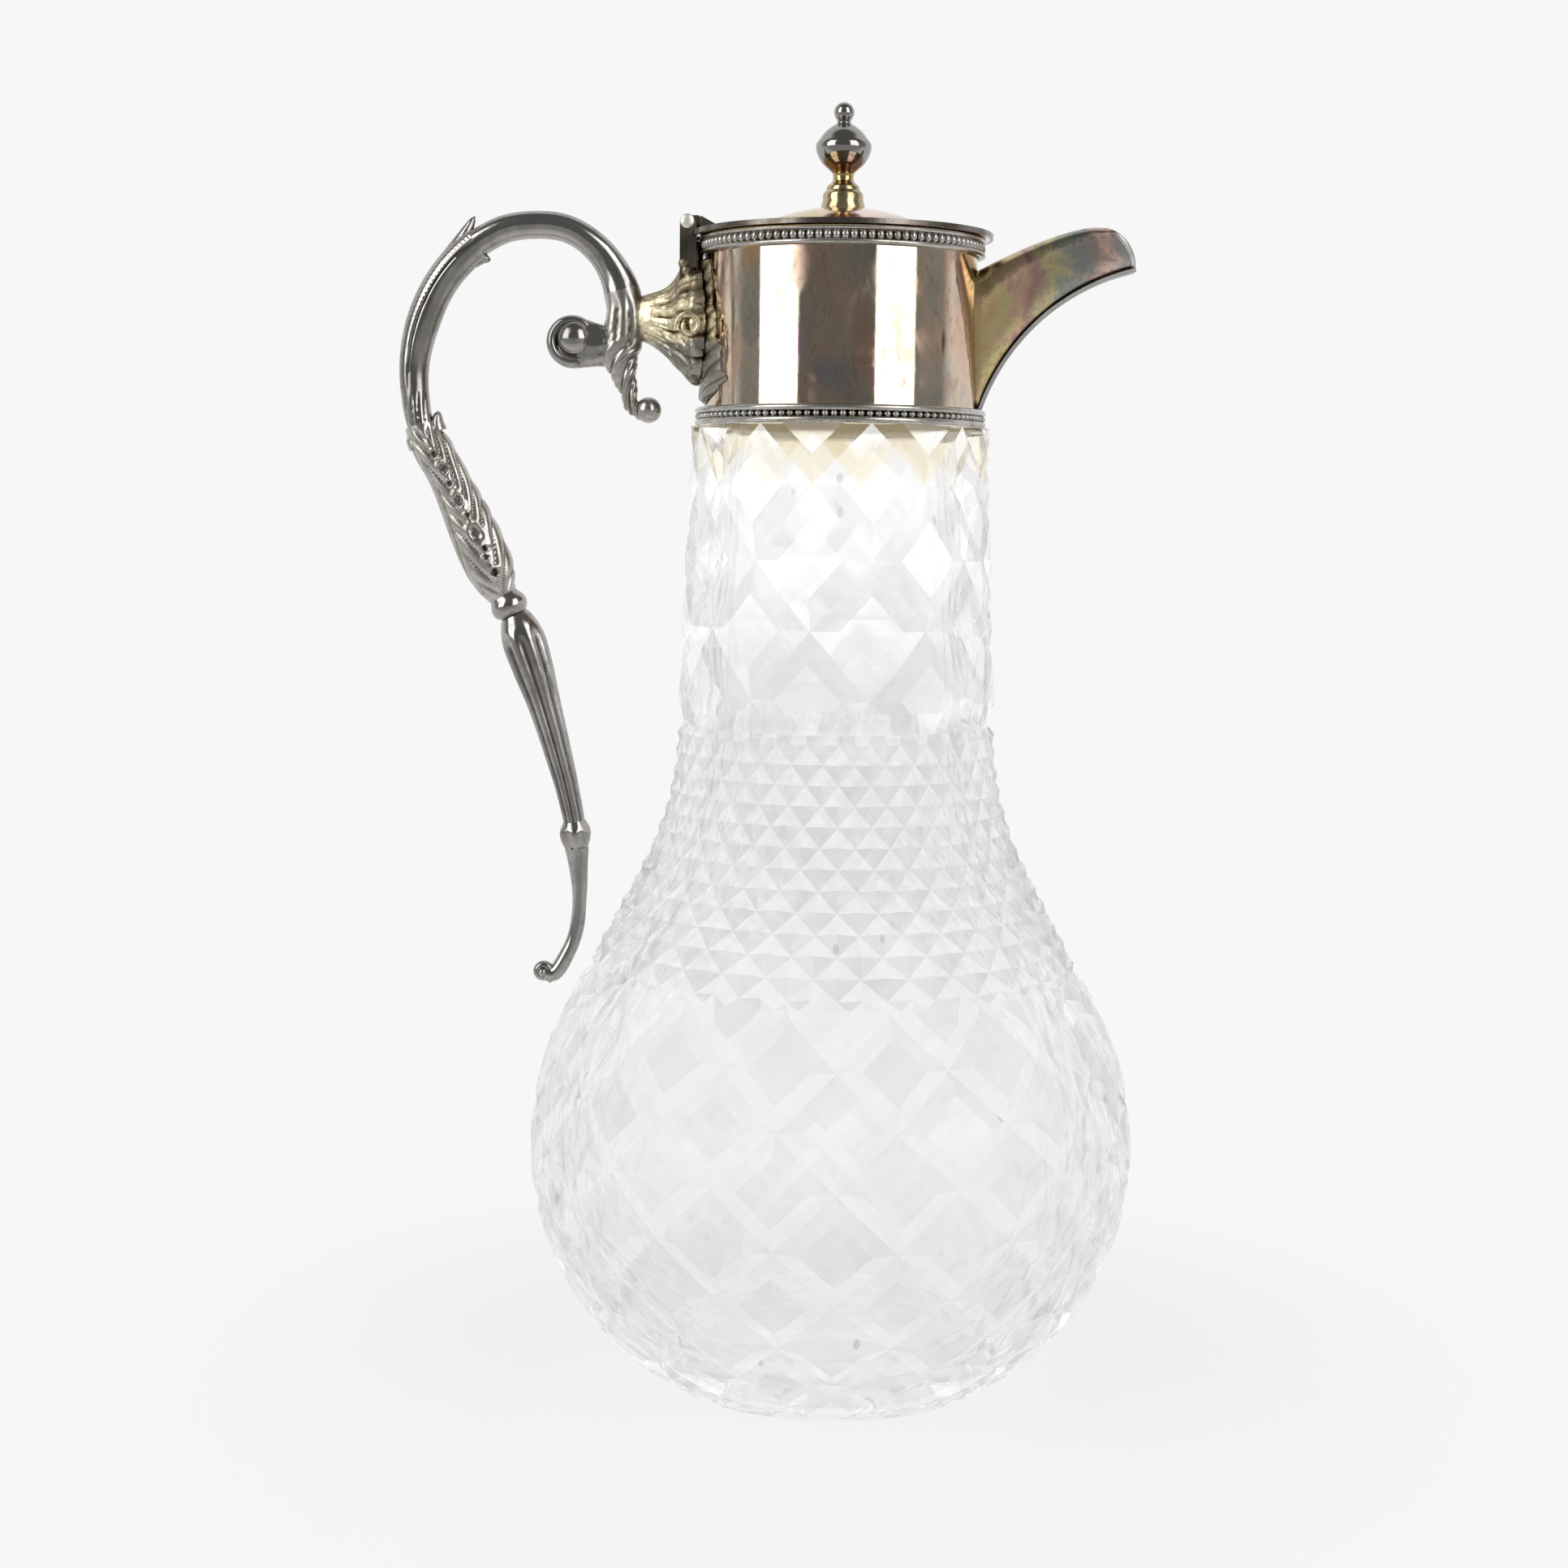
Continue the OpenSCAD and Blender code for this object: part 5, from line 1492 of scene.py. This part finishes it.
class JUG_OT_lid(bpy.types.Operator):
    """Finish the lid and its hinge, and turn the finial and its foot"""
    bl_idname = "claret_jug.lid"
    bl_label = "Lid and finial"

    def execute(self, context):
        for node, finish in (("lid_plate", "lid_plate"), ("lid_edge_wire", "edge_wire"),
                             ("lid_bezel", "inner_plate"), ("finial_stud", "pin_metal"),
                             ("finial_washer", "pin_metal"), ("finial_nut", "pin_metal")):
            paint_node(node, finish_named(finish))
        hinge = finish_named("hinge_plate")
        dress(eased_copy("lid_leaf", 0.12), hinge, "lid", "lid_leaf", slot="handle_plate")
        dress(eased_copy("hinge_post", 0.2), hinge, "jug", "hinge_post", slot="handle_plate")
        dress(pin_piece(), finish_named("pin_head"), "jug", "hinge_pin", slot="pin_metal")
        foot = lathe("finial_foot_turned", foot_outline(), 96, 50.0)
        dress(foot, finish_named("finial_brass"), "lid", "finial_foot", slot="finial_brass")
        ball = lathe("finial_turned", ball_outline(), 96, 50.0)
        dress(ball, finish_named("finial_steel"), "lid", "finial", slot="handle_plate")
        return {"FINISHED"}


# ---- Stage ----

LENS = 57.93   # in millimetres, on a sensor 36 mm wide
CAMERA_PLACE = (-0.0116, -0.5722, 0.1965)
CAMERA_TILT, CAMERA_ROLL = 6.05, 0.68   # in degrees, downwards and anticlockwise
THROUGH_GLASS = 1.33   # brightness behind the glass, to make up for its tint
FLOOR_HALF = 6000.0
SOFTBOX_FAR, SOFTBOX_Z = 1.25, 0.98
class JUG_OT_stage(bpy.types.Operator):
    """Set up the pale floor, the soft studio light, the surround and the camera"""
    bl_idname = "claret_jug.stage"
    bl_label = "Stage"

    def execute(self, context):
        stage = context.scene.jug_stage
        self.camera(context)
        self.floor(stage)
        self.surround(context, stage)
        for name, side, turn, power in (("left_softbox", -1, 55, stage.lamp_power),
                                        ("right_softbox", 1, 45, stage.lamp_power * 0.9)):
            self.softbox(context, name, side * math.radians(turn), power)
        context.scene.view_settings.view_transform = "Standard"
        return {"FINISHED"}

    def camera(self, context):
        data = bpy.data.cameras.new("camera")
        data.lens, data.sensor_width = LENS, 36.0
        data.clip_start, data.clip_end = 0.01, 20.0
        camera = new_object("camera", data)
        tilt, roll = math.radians(90 - CAMERA_TILT), math.radians(CAMERA_ROLL)
        tip = Matrix.Rotation(tilt, 4, "X") @ Matrix.Rotation(roll, 4, "Z")
        camera.matrix_world = Matrix.Translation(CAMERA_PLACE) @ tip
        context.scene.camera = camera

    def floor(self, stage):
        corners = [(x * FLOOR_HALF, y * FLOOR_HALF, -0.2) for x, y in ((-1, -1), (1, -1), (1, 1), (-1, 1))]
        mesh = new_mesh("floor", corners, [(0, 1, 2, 3)])
        floor = new_object("floor", mesh)
        f = Finish("floor_paper")
        where = f.place()
        grain = f.noise(40.0, 3.0, 0.5)
        far = f.add("ShaderNodeVectorMath", {"operation": "LENGTH"}, out="Value", _0=where)
        front = f.add("ShaderNodeSeparateXYZ", out=1, Vector=where).step(-0.05, -0.45)
        cloudy = f.mix(grain.step(0.3, 0.7), (0.86, 0.86, 0.86), (0.84, 0.84, 0.84))
        paper = f.add("ShaderNodeBsdfDiffuse", Color=cloudy)
        camera, glossy, through = self.ray_kinds(f)
        glow = f.add("ShaderNodeEmission", Color=(1.0, 1.0, 1.0),
                     Strength=stage.background * (1.0 - glossy * (1.0 - through) * front * 0.5))
        seen = (camera + glossy + through).clamp()
        shader = f.add("ShaderNodeMixShader", _0=seen * (1.0 - far.step(0.2, 0.03) * stage.shadow),
                       _1=paper, _2=glow)
        f.tree.links.new(shader.socket, f.out.inputs["Surface"])
        mesh.materials.append(f.material)

    def ray_kinds(self, f):
        """Whether a ray comes from the camera, off a polished face or through glass."""
        ray = f.tree.nodes.new("ShaderNodeLightPath")
        kinds = ("Is Camera Ray", "Is Glossy Ray", "Is Transmission Ray")
        return [Field(f.tree, ray.outputs[kind]) for kind in kinds]

    def surround(self, context, stage):
        """White behind the jug, with the dark room in front of it that the metal mirrors."""
        world = bpy.data.worlds.new("surround")
        context.scene.world = world
        world.use_nodes = True
        tree = world.node_tree
        tree.nodes.clear()
        f = Finish.__new__(Finish)
        f.tree = tree
        out = tree.nodes.new("ShaderNodeOutputWorld")
        where = f.add("ShaderNodeTexCoord", out="Generated")
        across = f.add("ShaderNodeSeparateXYZ", out=0, Vector=where).math("ABSOLUTE")
        front = f.add("ShaderNodeSeparateXYZ", out=1, Vector=where).step(0.3, 0.02)
        camera, glossy, through = self.ray_kinds(f)
        room = front * (1.0 - across.step(0.8, 0.97) * stage.side_light)
        mirrored = stage.background * (1.0 - room * (1 - stage.dark_front))
        strength = (camera * stage.background + glossy * (1.0 - through) * mirrored
                    + through * (THROUGH_GLASS - front * stage.glass_shade)
                    + (1.0 - (camera + glossy + through).clamp()) * stage.fill)
        shade = f.add("ShaderNodeBackground", Color=(1.0, 1.0, 1.0), Strength=strength)
        tree.links.new(shade.socket, out.inputs["Surface"])

    def softbox(self, context, name, turn, power):
        lamp = bpy.data.lights.new(name, "AREA")
        lamp.shape = "RECTANGLE"
        lamp.size, lamp.size_y = 0.8, 1.5
        lamp.energy = power
        box = new_object(name, lamp)
        place = Vector(around(SOFTBOX_FAR, turn, SOFTBOX_Z))
        aim = (Vector((0, 0, SOFTBOX_Z)) - place).to_track_quat("-Z", "Y")
        box.matrix_world = Matrix.Translation(place) @ aim.to_matrix().to_4x4()
        box.visible_transmission = False


# ---- Sizes and colours ----

def depth_setting(name, about, default):
    return bpy.props.FloatProperty(name=name, description=about, default=default, unit="LENGTH",
                                   min=0.0005, max=0.003)


def share_setting(name, about, default, low=0.1, high=0.9):
    return bpy.props.FloatProperty(name=name, description=about, default=default, subtype="FACTOR",
                                   min=low, max=high)


def level_setting(name, about, default, **more):
    limits = {"min": 0, "max": 1, **more}
    return bpy.props.FloatProperty(name=name, description=about, default=default, **limits)


def colour_setting(name, about, default):
    return bpy.props.FloatVectorProperty(name=name, description=about, default=default, subtype="COLOR",
                                         min=0, max=1)


class JugGlassSettings(bpy.types.PropertyGroup):
    """Sizes of the cuts and the colour of the glass"""
    tint: colour_setting("Glass tint", "Colour of the clear glass", (0.985, 0.99, 0.985))
    neck_depth: depth_setting("Neck cut depth", "Depth of the broad cuts on the neck", 0.0017)
    neck_table: share_setting("Neck table", "Share of a neck diamond left uncut", 0.52)
    shoulder_depth: depth_setting("Shoulder cut depth", "Depth between the small points", 0.0013)
    bulb_depth: depth_setting("Bulb cut depth", "Depth of the cuts on the bulb", 0.0014)
    bulb_table: share_setting("Bulb table", "Share of a bulb diamond left uncut", 0.57)
    ring_depth: depth_setting("Ring depth", "Depth of the two ring cuts", 0.0015)


class JugMetalSettings(bpy.types.PropertyGroup):
    """Sizes and colours of the plated pieces"""
    beads: bpy.props.IntProperty(name="Beads", description="Beads in each border", default=104,
                                 min=40, max=160)
    carving: level_setting("Carving", "Depth of the carved leaves against the cast ones", 1.0, max=1.5)
    silver: colour_setting("Silver", "Rubbed silver plate", (0.72, 0.69, 0.64))
    steel: colour_setting("Dark plate", "Handle's darkened plate", (0.385, 0.37, 0.35))
    gold: colour_setting("Yellow plate", "Bracket's yellow tarnish", (0.84, 0.76, 0.52))


class JugStageSettings(bpy.types.PropertyGroup):
    """Light and background"""
    background: level_setting("Background", "Brightness of the background", 0.93)
    fill: level_setting("Fill light", "Light from all sides", 0.4)
    dark_front: level_setting("Dark front", "Brightness of the room in front", 0.19)
    side_light: level_setting("Side light", "How much lighter the room's sides are", 0.18)
    glass_shade: level_setting("Glass shade", "How much the room in front greys the glass", 0.1)
    lamp_power: level_setting("Softbox power", "Power of the left softbox", 12.0, unit="POWER", max=60)
    shadow: share_setting("Floor shadow", "How strongly the floor shows the shadow", 0.22, 0, 1)


class JUG_PT_panel(bpy.types.Panel):
    """Sizes, colours and pieces of the jug"""
    bl_label = "Claret Jug"
    bl_idname = "JUG_PT_panel"
    bl_space_type = "VIEW_3D"
    bl_region_type = "UI"
    bl_category = "Claret Jug"

    def draw(self, context):
        for settings in (context.scene.jug_glass, context.scene.jug_metal, context.scene.jug_stage):
            box = self.layout.box()
            for name in settings.__annotations__:
                box.prop(settings, name)
        for operator in OPERATORS:
            self.layout.operator(operator.bl_idname)


OPERATORS = (JUG_OT_stage, JUG_OT_glass, JUG_OT_collar, JUG_OT_spout, JUG_OT_bracket, JUG_OT_handle,
             JUG_OT_lid)
SETTINGS = {"jug_glass": JugGlassSettings, "jug_metal": JugMetalSettings, "jug_stage": JugStageSettings}


def register():
    for cls in (*SETTINGS.values(), *OPERATORS, JUG_PT_panel):
        bpy.utils.register_class(cls)
    for name, cls in SETTINGS.items():
        setattr(bpy.types.Scene, name, bpy.props.PointerProperty(type=cls))


def unregister():
    for name in SETTINGS:
        delattr(bpy.types.Scene, name)
    for cls in reversed((*SETTINGS.values(), *OPERATORS, JUG_PT_panel)):
        bpy.utils.unregister_class(cls)


def main():
    register()
    bpy.ops.claret_jug.stage()
    bpy.ops.claret_jug.glass()
    bpy.ops.claret_jug.collar()
    bpy.ops.claret_jug.spout()
    bpy.ops.claret_jug.bracket()
    bpy.ops.claret_jug.handle()
    bpy.ops.claret_jug.lid()


if __name__ == "__main__":
    main()
